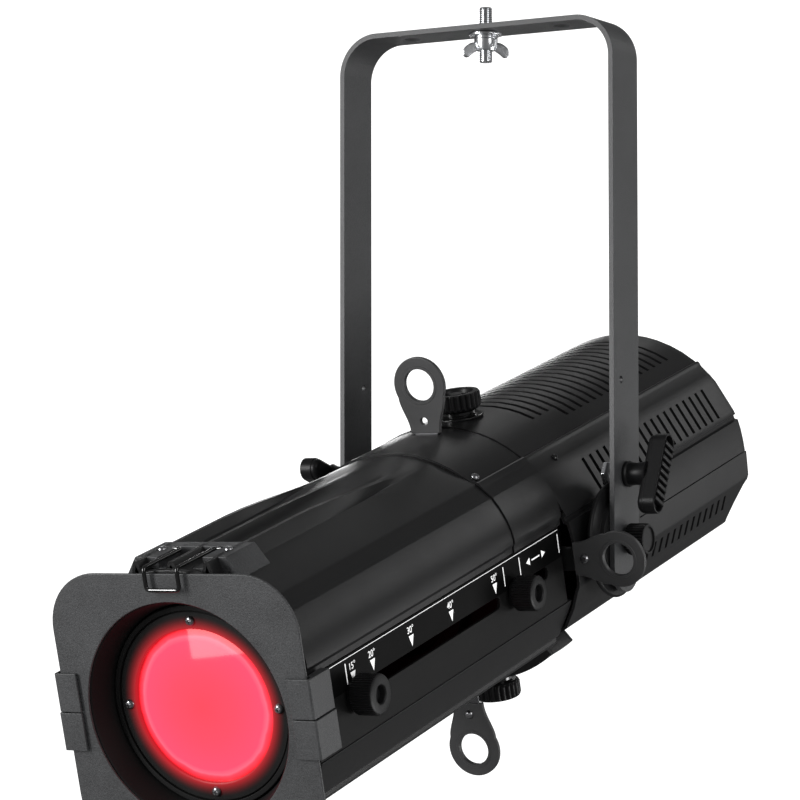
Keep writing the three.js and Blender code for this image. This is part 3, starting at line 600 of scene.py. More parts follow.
def build_clamps():
    for side, place, lean in (("right", UP, 24), ("left", MIRROR, -74)):
        clamp_z = JOINTS[f"t_handle_{side}_turn"]["pos_m"][2] * 1000 - PIVOT.z * 1000
        arm = span("yoke", ROW)[1].x
        core = prism([capsule(61, 15.5)], 15.4, 26.2, SIDE, bevel=3.6, steps=4)
        rim = prism([capsule(62, 17), capsule(58.6, 13.6)], 20, 29.8, SIDE, bevel=0.7, steps=3)
        bars = [prism([rectangle(-7.3, 7.3, 5.4 * k - 1.7, 5.4 * k + 1.7)], 25, 30.9, SIDE, bevel=1.2)
                for k in range(-4, 5)]
        grip = move(merge(core, rim, *bars), turn(-lean, "X"))
        neck = lathe([(0, 0.5), (9.4, 0.5), (9.6, 2.4), (8.4, 3.4), (8, 9), (8.8, 15), (10.4, 18.5),
                      (0, 18.5)], SIDE)
        handle = move(merge(grip, neck), at(arm, 0, clamp_z), place)
        piece(f"clamp_handle_{side}", handle, f"t_handle_{side}", MOULDED, [f"t_handle_{side}"], ARM)
        nut = lathe([(4.4, 98.9), (10, 98.9), (10, 101.6), (9.2, 102.6), (4.4, 102.6)], SIDE, sides=6)
        piece(f"clamp_nut_plate_{side}", move(nut, at(0, 0, clamp_z), place), "yoke", PLATED,
              [f"clamp_nut_{side}"], ARM, bevel=0.3)
        profile = [(0, 0.5), (7.4, 0.5), (7.6, 2), (10.8, 2.5), (11.5, 3.4), (11.5, 15.8), (10.6, 17.4),
                   (9.2, 17.6),
                   (8.8, 16.4), (0, 16.4)]
        knob = lathe(profile, SIDE, sides=240, wave=ribs(30, 1.5, (4, 5)))
        stud = lathe([(0, -16.4), (4, -16.4), (4, 0.7), (0, 0.7)], SIDE, sides=32)
        piece(f"pivot_knob_grip_{side}", move(merge(knob, stud), at(arm, 0, 0), place), f"pivot_knob_{side}",
              MOULDED, [f"pivot_knob_{side}"], ARM)
        low, high = span(f"friction_disc_{side}")
        inner, outer = (low.x, high.x) if side == "right" else (-high.x, -low.x)
        disc = [(4.4, inner), (16, inner), (18, inner + 4.4), (40.4, inner + 5.2), (42, inner + 6.4),
                (42, inner + 8),
                (40.4, inner + 9), (29, inner + 9), (28, outer), (4.4, outer)]
        piece(f"tilt_disc_{side}", move(lathe(disc, SIDE, sides=96), place), "lamp", MOULDED,
              [f"friction_disc_{side}"], bevel=0.3)


# ---------- lamp housing ----------
def vent_rows(first=15, pitch=11.8, count=19, width=4):
    return [(first + pitch * k - width / 2, first + pitch * k + width / 2) for k in range(count)]


def rear_edge(rear, z):
    """Where the housing's rear edge lies at a height: it steps forwards below the knee."""
    if z > -22:
        return rear
    if z > -36:
        return rear - 18 * (-22 - z) / 14
    return rear - 18 - 4 * min(1, (-36 - z) / 24)


def ring_sweep(profile, start, end, y, steps=24):
    """A (radius, height) profile swept round the optical axis between two angles."""
    made = bmesh.new()
    rings = []
    for k in range(steps + 1):
        a = math.radians(start + (end - start) * k / steps)
        rings.append([made.verts.new((r * math.cos(a), y + h, r * math.sin(a))) for r, h in profile])
    skin(made, rings)
    return to_mesh(made)


# size of the dark sheet behind the vents, put in as painted shade, as a share of the housing section
SHADE_SHEET_SHARE = 0.925


def build_housing():
    low, high = span("housing_top")
    front, rear = low.y, high.y
    vents = vent_rows()
    cuts = sorted({y for pair in vents for y in pair})
    ys = [front, front + 0.8, front + 6, *cuts, rear - 10, rear - 2.4, rear - 0.7, rear]
    lock = span("rotation_knob_top")
    lock_y = (lock[0].y + lock[1].y) / 2
    ys = sorted(set(ys) | {lock_y - 9, lock_y + 9})
    reaches = [33.5, 27]
    angles = [48.9, 56.5, 63, 70, 76, 83, 90]
    angles += [180 - a for a in reversed(angles[:-1])]
    top = [(98 * math.cos(math.radians(a)), 98 * math.sin(math.radians(a))) for a in angles]
    section = mirrored(HOUSING_SIDE_TOP, top)
    side_count = len(HOUSING_SIDE_TOP)
    vent_index = {round(a, 3): k for k, (a, _) in enumerate(vents)}

    def grow(y):
        return 1 - 0.012 * smooth_step(y, rear - 2.4, rear)

    stations = [[(x * grow(y), y, z * grow(y)) for x, z in section] for y in ys]
    tilt_flat = HOUSING_SIDE_TOP.index((92.2, 33.6))

    def is_open(i, j):
        y = ys[i]
        k = vent_index.get(round(y, 3))
        on_top = side_count <= j < side_count + len(top) - 1
        angle = angles[j - side_count] if on_top else None
        if on_top and lock_y - 9.1 < y < lock_y + 8.9:
            return 83 <= angle and angles[j - side_count + 1] <= 97
        if k is None:
            return False
        if on_top:
            reach = reaches[1] if k < 3 else reaches[0]
            return angle >= 90 - reach - 0.1 and angles[j - side_count + 1] <= 90 + reach + 0.1
        return j == tilt_flat or j == len(section) - 2 - tilt_flat

    piece("housing_shell_top", shell(stations, is_open), "lamp", CAST, ["housing_top"],
          bevel=0.35, sheet=2.4)

    lower = mirrored(HOUSING_SIDE_LOW[:-1], HOUSING_SIDE_LOW[-1:])
    low_flat = HOUSING_SIDE_LOW.index((94.8, -26.4))

    def cut_back(y, z):
        start = 222
        reach = rear_edge(rear, z)
        return y if y < start else start + (y - start) * (reach - start) / (rear - start)

    stations = [[(x, cut_back(y, z), z) for x, z in lower] for y in ys]
    track = HOUSING_SIDE_LOW.index((15, -82))

    def is_low_open(i, j):
        if abs(ys[i] - lock_y + 9) < 0.1:
            return track <= j < len(lower) - 1 - track
        k = vent_index.get(round(ys[i], 3))
        if k is None or k > 17:
            return False
        return j == low_flat or j == len(lower) - 2 - low_flat

    piece("housing_shell_low", shell(stations, is_low_open), "lamp", CAST, ["housing_bottom"],
          bevel=0.35, sheet=2.4)

    # dark sheet behind the vents, put in as painted shade for the inside of the housing: it hides the light inside
    outline = scaled(section + lower[::-1], SHADE_SHEET_SHARE)
    ends = (cuts[0] - 6, rear - 24)
    walls = shell([[(x, y, z) for x, z in outline[:len(section)]] for y in ends])
    floor = shell([[(x, y, z) for x, z in outline[len(section):]] for y in ends])
    piece("vent_shade_sheet_top", walls, "lamp", SHADED_CAST, sheet=0.8)
    piece("vent_shade_sheet_low", floor, "lamp", SHADED_CAST, sheet=0.8)

    # raised seat round the lower rotation lock
    walls = []
    for near, far in ((-18.4, -14.6), (14.6, 18.4)):
        walls.append(ring_sweep([(84, near), (97.8, near), (97.8, far), (84, far)], -127.5, -52.5, lock_y))
    for start in (-127.5, -55.5):
        walls.append(ring_sweep([(84, -15), (97.8, -15), (97.8, 15), (84, 15)], start, start + 3, lock_y, 2))
    piece("lock_seat_low", merge(*walls), "lamp", CAST, bevel=0.8)
    # the seat's recessed floor takes the darker casting black as painted shade
    floor = ring_sweep([(89.6, -15), (91.8, -15), (91.8, 15), (89.6, 15)], -126, -54, lock_y)
    piece("lock_seat_floor", floor, "lamp", SHADED_CAST)
    rim = lathe([(13.2, 94), (17.4, 96.6), (18.4, 98.1), (18.2, 98.5), (16.8, 98.5), (13.2, 97)], UP,
                sides=96)
    piece("lock_seat_top", move(rim, at(0, lock_y, 0)), "lamp", CAST)


PIN_CIRCLE = 4.4


def build_rear():
    face = span("rear_panel")[1].y
    thick, knee, inset = 2.5, -24, 0.955
    upper = scaled(mirrored(HOUSING_SIDE_TOP, top_arc(98, 49, 20)), inset)
    side = scaled(HOUSING_SIDE_LOW, inset)
    edge = next(x for x, z in side if z < knee)
    outline = spaced(upper, 0.8) + [(-edge, knee), (edge, knee)]
    sockets = {name: middle(name) for name in ("power_inlet", "power_outlet", "data_inlet", "data_outlet")}
    window = span("display_window")
    buttons = [middle(f"menu_button_{k}") for k in (1, 2, 3, 4)]
    fuse = middle("fuse_cap")
    holes = [circle(12.4, (p.x, p.z)) for p in sockets.values()]
    holes += [circle(3.6, (p.x, p.z), 20) for p in buttons] + [circle(6.4, (fuse.x, fuse.z), 24)]
    holes.append(rectangle(window[0].x - 0.3, window[1].x + 0.3, window[0].z - 0.3, window[1].z + 0.3))
    holes += [fillet(rectangle(-26, 26, z - 1.4, z + 1.4), 1.3) for z in (70, 76, 82)]
    plate = prism([outline, *holes], face - thick, face, BACK, bevel=0.3)
    piece("rear_plate", plate, "lamp", CAST, ["rear_panel"])
    path = [(face, knee), (face - 18, -36), (face - 20.4, -47), (face - 22, -60), (face - 22, -72),
            (face - 22, -80)]

    def half_width(z):
        for (x0, z0), (x1, z1) in zip(side, side[1:]):
            if z1 <= z <= z0:
                return x0 + (x1 - x0) * (z0 - z) / (z0 - z1)
        return side[-1][0]

    stations = [[(half_width(z) * k / 8, y, z) for k in range(8, -9, -1)] for y, z in path]
    piece("rear_plate_low", shell(stations), "lamp", CAST, bevel=0.4, sheet=2.2)
    screws = [move(screw(3), turn(-90, "X"), at(x, face, z))
              for x, z in ((-80, 30), (80, 30), (-76, -17), (82, -17), (0, 89))]
    piece("rear_screws", merge(*screws), "lamp", DARK_STEEL)
    glass = prism([fillet(rectangle(window[0].x, window[1].x, window[0].z, window[1].z), 1.2)],
                  window[0].y, face + 1,
                  BACK, bevel=0.35)
    piece("display_glass", glass, "lamp", ("gloss_black", GLOSS), ["display_window"])
    for k, spot in enumerate(buttons, 1):
        low, high = span(f"menu_button_{k}")
        cap = lathe([(0, low.y), (3.1, low.y), (3.1, high.y - 0.7), (2.5, high.y), (1.6, high.y - 0.25),
                     (0, high.y - 0.35)],
                    BACK, sides=36)
        piece(f"button_cap_{k}", move(cap, at(spot.x, 0, spot.z)), f"menu_button_{k}",
              ("black_rubber", RUBBER), [f"menu_button_{k}"])
    looks = {"power_inlet": ("blue_plastic", BLUE), "power_outlet": ("grey_plastic", GREY),
             "data_inlet": PLATED, "data_outlet": PLATED}
    for name, look in looks.items():
        low, high = span(name)
        spot = sockets[name]
        outer = (high.x - low.x) / 2
        bore = 9.5 if name.startswith("power") else 8.8
        body_r = outer - 3.2
        profile = [(0, low.y), (body_r, low.y), (body_r, face + 0.5), (outer, face + 0.5),
                   (outer, high.y - 0.5),
                   (outer - 0.5, high.y), (bore + 0.8, high.y), (bore, high.y - 0.8), (bore, face - 13.6),
                   (0, face - 13.6)]
        cup = lathe(profile, BACK, sides=56)
        pins = [move(lathe([(0, face - 14), (1.1, face - 14), (1.1, face - 5), (0.6, face - 4),
                            (0, face - 4)],
                           BACK, sides=16), at(x, 0, z)) for x, z in arc(PIN_CIRCLE, 90, 330, 2)]
        key = prism([rectangle(-1.4, 1.4, bore - 1.6, bore + 0.4)], face - 13, face + 1.6, BACK, bevel=0.3)
        piece(f"{name}_shell", move(merge(cup, key), at(spot.x, 0, spot.z)), "lamp", look, [name])
        piece(f"{name}_pins", move(merge(*pins), at(spot.x, 0, spot.z)), "lamp", PLATED)
    low, high = span("fuse_cap")
    cap = [(0, low.y), (6, low.y), (6, face + 0.5), (8, face + 0.5), (8, high.y - 0.8), (7.2, high.y),
           (3.2, high.y),
           (3, high.y - 1.2), (0, high.y - 1.2)]
    knurl = lathe(cap, BACK, sides=120, wave=ribs(20, 0.7, (3, 4)))
    piece("fuse_cap_grip", move(knurl, at(fuse.x, 0, fuse.z)), "fuse_cap", MOULDED, ["fuse_cap"])


# ---------- barrel ----------
def build_covers():
    low, high = span("barrel_cover_top")
    front, seam = low.y, high.y

    def ridge_share(y, start, end):
        return 1 - smooth_step(y, start, end)

    def top_row(y):
        share = ridge_share(y, -292, -150)
        right = []
        for x in RIDGE_X:
            near = min(abs(x - c) for c in RIDGES)
            base = math.sqrt(96 ** 2 - x ** 2)
            if near <= 1.7:
                z = base + (99 - base) * share
            elif near <= 4.2:
                z = base + (98.4 - base) * share if near < 2 else base - 1.2 * share
            else:
                z = base - 4.6 * share
            right.append((x, z))
        return right + [(-x, z) for x, z in reversed(right)]

    ys = [front, front + 1, front + 14, front + 46, -330, -292, -270, -245, -220, -200, -180, -165, -150,
          -135, seam - 0.8, seam]
    stations = []
    for y in ys:
        tuck = 0.9 * smooth_step(y, seam - 2, seam)
        row = mirrored(COVER_SIDE, top_row(y))
        stations.append([(x * (1 - tuck / 96), y, z * (1 - tuck / 96)) for x, z in row])
    piece("cover_front_top", shell(stations), "barrel", CAST, ["barrel_cover_top"],
          bevel=0.3, sheet=2.2, sharp=60)

    low, high = span("gate_cover_top")
    slot_y = middle("shutter_top").y
    ys = [low.y, low.y + 0.8, -104, -90, slot_y - 1.7, slot_y + 1.7, high.y - 1.2, high.y]
    top = arc(97.3, 48.2, 83.2, 8) + arc(97.3, 96.8, 131.8, 8)
    section = mirrored(GATE_SIDE, top)
    gap = len(GATE_SIDE) + 8
    stations = [[(x, y, z) for x, z in section] for y in ys]
    piece("cover_gate_top", shell(stations, lambda i, j: i == 4 and j == gap), "barrel", CAST,
          ["gate_cover_top"], bevel=0.35, sheet=2.2)

    low, high = span("barrel_cover_bottom")
    slot_y = middle("shutter_bottom").y
    ys = [low.y, low.y + 1, low.y + 46, -300, -244, -160, seam - 0.2, seam + 0.6, slot_y - 1.7,
          slot_y + 1.7, high.y - 0.8, high.y]
    under = [(31, -82.6), (22, -85.2), (10.4, -86.9)]
    half = COVER_SIDE_LOW[:-3] + under
    section = half + [(-x, z) for x, z in reversed(half)]
    ridge_from = COVER_SIDE_LOW.index((38, -80.4)) + 1
    stations = []
    for y in ys:
        drop = 11.5 * (1 - smooth_step(y, -353, -244)) if y < -244 else 0
        last = len(section) - ridge_from
        stations.append([(x, y, z - (drop if ridge_from <= k < last else 0))
                         for k, (x, z) in enumerate(section)])
    hole = len(half) - 1
    piece("cover_front_low", shell(stations, lambda i, j: i == 8 and j == hole), "barrel", CAST,
          ["barrel_cover_bottom"], bevel=0.35, sheet=2.2)


# where each beam angle stands along the panel
SCALE = {15: -349, 20: -324, 30: -273, 40: -218, 50: -155}


def build_side_panels():
    low, high = span("side_panel_right")
    zoom = JOINTS["zoom_slide"]["range_m"][1] * 1000
    focus = JOINTS["focus_slide"]["range_m"][1] * 1000
    zoom_spot, focus_spot = middle("zoom_knob"), middle("focus_knob")
    slot_z, slot_half = zoom_spot.z, 4.3

    def slot(start, length):
        return arc(slot_half, -90, 90, 8, (start + length + 4, slot_z)) + arc(slot_half, 90, 270, 8,
                                                                              (start - 4, slot_z))

    slots = [slot(zoom_spot.y, zoom), slot(focus_spot.y, focus)]
    edge = slot_z + slot_half + 0.5
    plate = prism([rectangle(low.y, high.y, low.z, high.z), *slots], low.x, high.x - 0.6, SIDE, bevel=0.3)
    piece("scale_panel", plate, "barrel", SIDE_PANEL, ["side_panel_right"])
    label = prism([fillet(rectangle(low.y + 0.6, high.y - 1, edge, high.z - 0.6), 0.8)], high.x - 0.5,
                  high.x, SIDE, bevel=0.1)
    piece("scale_label", label, "barrel", ("gloss_black", LABEL))
    marks = []
    face = high.x + 0.12
    for y in SCALE.values():
        marks.append(prism([[(y - 3.1, 12.6), (y + 3.1, 12.6), (y, 5.2)]], face - 0.1, face, SIDE))
    for y in (-357, -141, -117, -57.5):
        marks.append(prism([rectangle(y - 0.5, y + 0.5, 6.4, 20)], face - 0.1, face, SIDE))
    for y, way in ((-102, -1), (-84, 1)):
        marks.append(prism([[(y, 10.4), (y, 15.6), (y + 5.5 * way, 13)]], face - 0.1, face, SIDE))
    marks.append(prism([rectangle(-99, -87, 12.5, 13.5)], face - 0.1, face, SIDE))
    marks.append(prism([rectangle(low.y + 2, high.y - 3, high.z - 1.3, high.z - 0.95)], face - 0.1, face,
                       SIDE))
    piece("scale_marks", merge(*marks), "barrel", PRINT)
    for number, y in SCALE.items():
        text = bpy.data.curves.new(f"scale_number_{number}", "FONT")
        text.body = f"{number}°"
        text.size = 6.4
        text.align_x = "CENTER"
        text.extrude = 0.05
        holder = add_object("number", text)
        drawn = drawn_mesh(holder)
        bpy.data.objects.remove(holder)
        piece(f"scale_number_{number}", move(drawn, SIDE, at(face - 0.05, y, 14.4)), "barrel", PRINT)
    low, high = span("side_panel_left")
    plain = prism([fillet(rectangle(low.y, high.y, low.z, high.z), 1)], low.x, high.x, SIDE, bevel=0.5)
    piece("plain_panel", plain, "barrel", SIDE_PANEL, ["side_panel_left"])


def build_front():
    spot = middle("colour_frame")
    low, high = span("colour_frame")
    half, corner = (high.x - low.x) / 2, 38
    c = half - corner
    outline = []
    for quarter, centre in enumerate(((c, c), (-c, c), (-c, -c), (c, -c))):
        outline += arc(corner, 90 * quarter, 90 * quarter + 90, 14, centre)
    plate = prism([outline, circle(75, steps=120)], low.y, high.y, BACK, bevel=0.55, steps=3)
    piece("colour_frame_plate", move(plate, at(spot.x, 0, spot.z)), "barrel", COATED, ["colour_frame"])

    low, high = span("front_frame")
    flange_face = low.y + 5.4
    section = mirrored(COVER_SIDE, top_arc(96, 68.5, 12)) + [(-x, z) for x, z in COVER_SIDE_LOW[:-1]]
    ring = scaled(section + COVER_SIDE_LOW[::-1], 0.993)
    flange = prism([spaced(ring, 0.9), circle(75.5, steps=96)], flange_face, flange_face + 5, BACK, bevel=0.5)
    piece("front_ring", flange, "barrel", CAST, ["front_frame"])
    tube = [(68.4, -385), (76.4, -385), (76.4, flange_face + 0.4), (75.6, flange_face - 0.6),
            (74.6, flange_face - 0.6),
            (73.6, flange_face + 0.4), (69.4, -392), (68.4, -388)]
    piece("front_tube", lathe(tube, BACK, sides=128), "barrel", ("black_casting", TUBE))
    for side, place in (("right", UP), ("left", MIRROR)):
        for name, z0, z1, out in (("upper", 1.2, 27, 0), ("lower", -25, 0.4, 0.8)):
            channel = [(89.9 + out, -386), (91 + out, -404.6), (95.2 + out, -405.4), (95.2 + out, -409.2),
                       (80, -409.2),
                       (80, -411.2), (96 + out, -411.2), (97 + out, -410.2), (97 + out, -386)]
            channel = [(min(x, 97.7), y) for x, y in channel]
            clip = prism([fillet(channel, 0.7, 3)], z0, z1, UP, bevel=0.4)
            piece(f"frame_channel_{name}_{side}", move(clip, place), "barrel", COATED)
    shelf = prism([rectangle(-28, 28, -97.6, -95.8)], -411.4, -386, BACK, bevel=0.4)
    lip = prism([rectangle(-28, 28, -97.6, -86)], -411.4, -409.6, BACK, bevel=0.4)
    piece("frame_channel_bottom", merge(shelf, lip), "barrel", COATED)

    low, high = span("latch_block")
    wedge = [(47, 80.6), (34.4, 99), (17, 99), (17, 91.6), (-17, 91.6), (-17, 99), (-34.4, 99), (-47, 80.6)]
    front_part = prism([fillet(wedge, 0.6, 2)], low.y, -364, BACK, bevel=0.4)
    rear_part = prism([fillet([(47, 80.6), (34.4, 99), (-34.4, 99), (-47, 80.6)], 0.6, 2)], -364.4, high.y,
                      BACK, bevel=0.4)
    block = merge(front_part, rear_part)
    piece("latch_housing", block, "barrel", COATED, ["latch_block"])
    heads = [move(screw(2.9), at(x, -371, 99)) for x in (-25.5, 25.5)]
    piece("latch_screws", merge(*heads), "barrel", SCREW)

    low, high = span("frame_latch")
    half_span, radius = 12.5, 1.4
    y0, y1 = low.y + radius, high.y - radius
    z_top, z_low = high.z - radius, low.z + radius
    path = fillet_path([(-18.4, y1, z_top), (-half_span, y1, z_top), (-half_span, y0, z_top),
                        (-half_span, y0, z_low),
                        (half_span, y0, z_low), (half_span, y0, z_top), (half_span, y1, z_top),
                        (18.4, y1, z_top)], 3)
    piece("latch_wire", tube_along(path, radius), "frame_latch", DARK_STEEL, ["frame_latch"], sharp=60)


def fillet_path(points, radius, steps=6):
    made = [Vector(points[0])]
    for before, corner, after in zip(points, points[1:], points[2:]):
        corner = Vector(corner)
        a = corner + (Vector(before) - corner).normalized() * radius
        b = corner + (Vector(after) - corner).normalized() * radius
        made += [a * (1 - k / steps) ** 2 + corner * 2 * (k / steps) * (1 - k / steps) + b * (k / steps) ** 2
                 for k in range(steps + 1)]
    return made + [Vector(points[-1])]


def tube_along(path, radius, sides=14):
    made = bmesh.new()
    rings = []
    side = Vector((0, 0, 1))
    for k, point in enumerate(path):
        ahead = (path[min(k + 1, len(path) - 1)] - path[max(k - 1, 0)]).normalized()
        side = (side - ahead * side.dot(ahead)).normalized()
        other = ahead.cross(side)
        ring = [side * math.cos(2 * math.pi * s / sides) + other * math.sin(2 * math.pi * s / sides)
                for s in range(sides)]
        rings.append([made.verts.new(point + p * radius) for p in ring])
    skin(made, rings)
    return to_mesh(made)


LENS_BULGE = 6.2


def build_optics():
    front = span("zoom_carriage")[0].y
    lip = front + 6.4
    carriage = [(60, front + 10), (60.4, front + 9), (63.9, front + 8.6), (63.9, lip), (67, lip),
                (67.5, lip + 0.6), (67.5, front + 39),
                (82, front + 39), (82, front + 49), (60, front + 49)]
    spot = middle("zoom_knob")
    boss = prism([rectangle(spot.y - 6, spot.y + 5, spot.z - 7, spot.z + 7)], 70, 85, SIDE, bevel=0.5)
    stud = move(lathe([(0, 80), (3, 80), (3, 104), (0, 104)], SIDE, sides=32), at(0, spot.y, spot.z))
    piece("lens_tube", merge(lathe(carriage, BACK, sides=128), boss, stud), "zoom_carriage",
          ("black_plastic", TUBE), ["zoom_carriage"], bevel=0.3)
    low, high = span("lens_retainer")
    ring = [(51.5, low.y + 0.5), (52.2, low.y), (62.6, low.y), (63.5, low.y + 0.8), (63.4, high.y),
            (51.5, high.y)]
    lit_ring = surface("lit_ring_black", (0.003, 0.003, 0.003), 0.45, grain=0.2, spec=0.2)
    glow_ring(lit_ring, LAMP @ Vector((0, low.y, 0)), 0.0515, 0.061, (0.55, 0.012, 0.02))
    piece("lens_ring", lathe(ring, BACK, sides=128), "zoom_carriage", ("black_casting", lit_ring),
          ["lens_retainer"])
    heads = [move(screw(3.5, 0.5), turn(90, "X"), at(0, low.y, 57), turn(90 * k, "Y")) for k in range(4)]
    piece("lens_ring_screws", merge(*heads), "zoom_carriage", SCREW)
    low, high = span("zoom_lens")
    radius = (high.x - low.x) / 2
    bulge = [(radius * k / 16, low.y + LENS_BULGE * (k / 16) ** 2) for k in range(17)]
    rear = [(radius * k / 8, high.y - 6 * (k / 8) ** 2) for k in range(8, -1, -1)]
    lens = lathe(bulge + rear, BACK, sides=128)
    centre = LAMP @ Vector((0, low.y, (low.z + high.z) / 2))
    glass = lit_glass("lit_lens_glass", centre, 0.0535)
    piece("front_lens", lens, "zoom_carriage", ("lens_glass", glass), ["zoom_lens"])


def build_knobs():
    for name, radius in (("zoom_knob", 13.5), ("focus_knob", 12.5)):
        spot = middle(name)
        low, high = span(name)
        profile = [(3.6, low.x), (radius - 2.2, low.x), (radius - 2, low.x + 2.2),
                   (radius - 0.5, low.x + 2.6), (radius, low.x + 3.4),
                   (radius, high.x - 2), (radius - 0.6, high.x - 0.7), (radius - 2, high.x), (6.6, high.x),
                   (5.8, high.x - 0.8),
                   (5.2, high.x - 4.4), (0, high.x - 4.4), (0, high.x - 5.2), (3.6, high.x - 5.2)]
        knob = lathe(profile, SIDE, sides=288, wave=ribs(48, 0.55, (4, 5)))
        piece(f"{name}_grip", move(knob, at(0, spot.y, spot.z)), name, MOULDED, [name])
    for side, place in (("top", UP), ("bottom", FLIP)):
        spot = middle(f"rotation_knob_{side}")
        profile = [(0, 103.4), (15.4, 103.4), (16.4, 104.2), (17.6, 105.6), (17.6, 114.6), (16.6, 116),
                   (13, 116), (12, 115), (11.4, 112.6),
                   (5.6, 112.6), (5.2, 114.8), (3.4, 115.2), (0, 115.2)]
        grip = lathe(profile, UP, sides=288, wave=ribs(24, 1.5, (3, 4)))
        collar = lathe([(0, 88.5), (4, 88.5), (4, 93.6), (12.2, 93.6), (12.2, 95.6), (13.4, 96.2),
                        (13.4, 98), (12.2, 98.6),
                        (12.2, 99.8), (13.4, 100.4), (13.4, 102.2), (12.2, 102.8), (12.2, 103.8),
                        (0, 103.8)], UP, sides=72)
        knob = move(grip, at(0, spot.y, 0), place)
        piece(f"lock_grip_{side}", knob, f"rotation_knob_{side}", MOULDED, [f"rotation_knob_{side}"])
        piece(f"lock_collar_{side}", move(collar, at(0, spot.y, 0), place), f"rotation_knob_{side}",
              ("black_plastic", BLACK_METAL))


SHUTTER_TURN = {"top": 0, "right": 90, "bottom": 180, "left": 270}


def build_shutters():
    for side, degrees in SHUTTER_TURN.items():
        node = f"shutter_{side}"
        low, high = span(node)
        y = (low.y + high.y) / 2
        ends = {"top": high.z, "right": high.x, "bottom": -low.z, "left": -low.x}
        out = ends[side] - 153.5
        grip = [(-12, 98.2), (-11.4, 97.6), (11.4, 97.6), (12, 98.2)]
        grip += [(12 + 6.6 * smooth_step(k, 0, 9) ** 1.15, 98.2 + 26.2 * k / 9) for k in range(1, 9)]
        grip += arc(20.5, -25, 205, 44, (0, 133))
        grip += [(-12 - 6.6 * smooth_step(k, 0, 9) ** 1.15, 98.2 + 26.2 * k / 9) for k in range(8, 0, -1)]
        eye = circle(12, (0, 133), 56)
        hole = circle(2.8, (0, 106.4), 24)
        plate = prism([grip, eye, hole], -1.7, 1.7, BACK, bevel=0.6, steps=3)
        bead = lathe([(12, -2), (13.9, -2), (14.4, -1.5), (14.4, 1.5), (13.9, 2), (12, 2), (11.7, 1.4),
                      (11.7, -1.4)], BACK, sides=96)
        handle = merge(plate, move(bead, at(0, 0, 133)))
        place = at(0, y, 0) @ turn(degrees, "Y") @ at(0, 0, out)
        piece(f"shutter_handle_{side}", move(handle, place), node, ("black_plastic", GRIP), [node])
        blade = [(-44, 4), (44, 4), (9, 52), (9, 101), (-9, 101), (-9, 52)]
        steel = prism([fillet(blade, 2, 3)], -0.6, 0.6, BACK, bevel=0.1)
        piece(f"shutter_blade_{side}", move(steel, place), node, ("zinc_steel", BLADE))
        if side != "top":
            rivet = merge(move(screw(3.4, 0.1), turn(90, "X"), at(0, -1.7, 106.4)),
                          move(screw(3.4, 0.1), turn(-90, "X"), at(0, 1.7, 106.4)))
            piece(f"shutter_rivet_{side}", move(rivet, place), node, SCREW)


def build_screws():
    gate_front = span("gate_cover_top")[0].y
    for k, (x, z) in enumerate(((61, 76.4), (-61, 76.4))):
        lean = math.degrees(math.atan2(x, z))
        head = move(screw(3.3), turn(lean, "Y"), at(x, gate_front + 9, z))
        piece(f"cover_screw_{k + 1}", head, "barrel", SCREW)
    house_front = span("housing_top")[0].y
    for k, (x, z) in enumerate(((73.6, 65.4), (-73.6, 65.4))):
        lean = math.degrees(math.atan2(x, z))
        piece(f"housing_screw_{k + 1}", move(screw(2.6), turn(lean, "Y"), at(x, house_front + 32, z)),
              "lamp", ("black_plastic", BLACK_METAL))


# ---------- stage, in metres ----------
FLOOR_DROP = 0.45
FLOOR_FLAT, FLOOR_BEND, WALL_HEIGHT = 6.5, 1.5, 9


def build_stage():
    """A round pale floor that bends up into a wall, so every view has the same background."""
    low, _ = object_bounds()
    floor_z = low.z - FLOOR_DROP
    made = bmesh.new()
    profile = [(0.5, floor_z)]
    for k in range(17):
        a = math.pi / 2 * k / 16
        profile.append((FLOOR_FLAT + FLOOR_BEND * math.sin(a), floor_z + FLOOR_BEND * (1 - math.cos(a))))
    profile.append((FLOOR_FLAT + FLOOR_BEND, floor_z + WALL_HEIGHT))
    rings = [[made.verts.new((x, y, z)) for x, y in circle(r, steps=64)] for r, z in profile]
    made.faces.new(rings[0])
    skin(made, rings, capped=False)
    mesh = to_mesh(made)
    for face in mesh.polygons:
        face.use_smooth = True
    sweep = add_object("studio_sweep", mesh)
    pale = surface("pale_floor", (0.3, 0.3, 0.3), 0.9, grain=0.0, mottle=0.01, spec=0.0)
    shader = pale.node_tree.nodes["Principled BSDF"]
    shader.inputs["Emission Color"].default_value = (1, 1, 1, 1)
    shader.inputs["Emission Strength"].default_value = 1.0
    mesh.materials.append(pale)
    sweep.visible_glossy = False


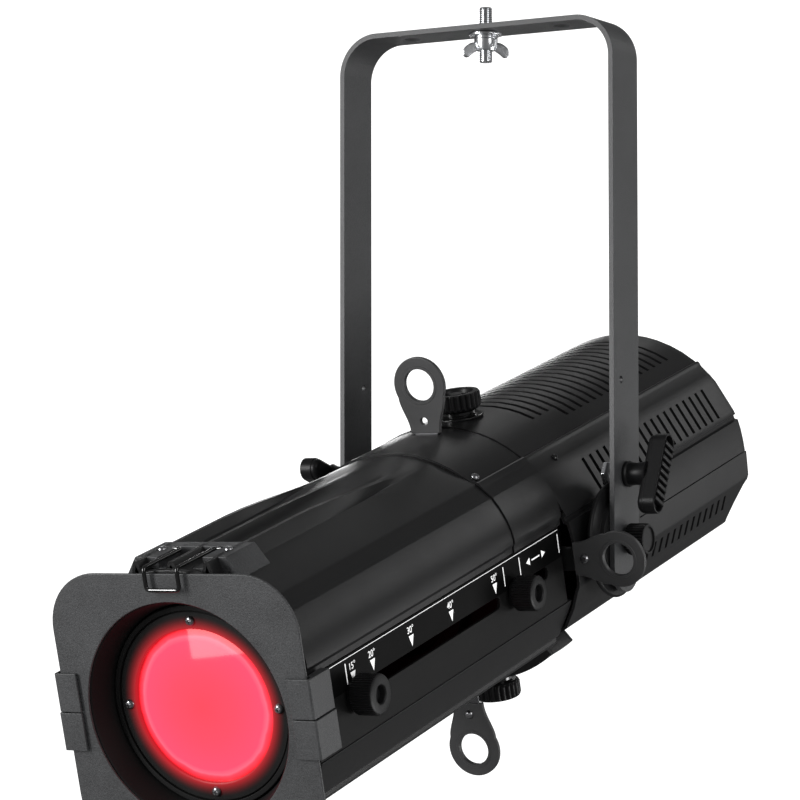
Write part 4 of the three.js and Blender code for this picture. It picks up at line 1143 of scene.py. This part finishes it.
def softbox(name, spot, aim, width, height, power):
    lamp = bpy.data.lights.new(name, "AREA")
    lamp.shape = "RECTANGLE"
    lamp.size, lamp.size_y, lamp.energy = width, height, power
    holder = add_object(name, lamp)
    holder.location = spot
    holder.rotation_euler = (Vector(aim) - Vector(spot)).to_track_quat("-Z", "Y").to_euler()


def build_light():
    world = bpy.data.worlds.new("studio")
    world.use_nodes = True
    world.node_tree.nodes["Background"].inputs["Color"].default_value = (1, 1, 1, 1)
    world.node_tree.nodes["Background"].inputs["Strength"].default_value = 0.16
    bpy.context.scene.world = world
    aim = PIVOT
    softbox("key_right", (2.6, -0.9, 0.5), aim, 0.9, 1.8, 28)
    softbox("overhead", (-0.9, 1.9, 1.5), aim, 1.0, 0.35, 1.6)
    softbox("behind_left", (-1.3, 1.9, 0.12), aim, 0.9, 0.4, 8)
    softbox("back_right", (1.5, 2.3, -0.3), aim, 0.9, 1.0, 4)
    softbox("high_right", (1.2, 1.75, 0.85), aim, 0.9, 0.5, 3.5)
    softbox("front_left", (-1.5, -2.4, 0.2), aim, 0.6, 1.5, 98)
    softbox("low_back", (1.8, 1.0, -1.0), aim, 1.0, 0.5, 22)
    softbox("lens_window", (-1.03, -2.3, -1.0), (0, -0.4, -0.5), 0.68, 0.29, 2)


CAMERA_FROM_PIVOT = Vector((1.1259, -2.0447, 0.0017))
CAMERA_PITCH, CAMERA_ROLL, CAMERA_AZIMUTH = 2.49, 0.07, 30.42


def build_camera():
    """The camera stands level with the lamp, to its right and in front, with a long lens."""
    lens = bpy.data.cameras.new("camera")
    lens.lens = 141.8
    lens.sensor_width = 36
    lens.clip_end = 30
    holder = add_object("camera", lens)
    holder.location = PIVOT + CAMERA_FROM_PIVOT
    holder.rotation_euler = [math.radians(a) for a in (90 + CAMERA_PITCH, CAMERA_ROLL, CAMERA_AZIMUTH)]
    bpy.context.scene.camera = holder


bpy.context.scene.view_settings.view_transform = "Standard"
build_camera()
build_yoke()
build_hanger()
build_clamps()
build_housing()
build_rear()
build_covers()
build_side_panels()
build_front()
build_optics()
build_knobs()
build_shutters()
build_screws()
build_stage()
build_light()
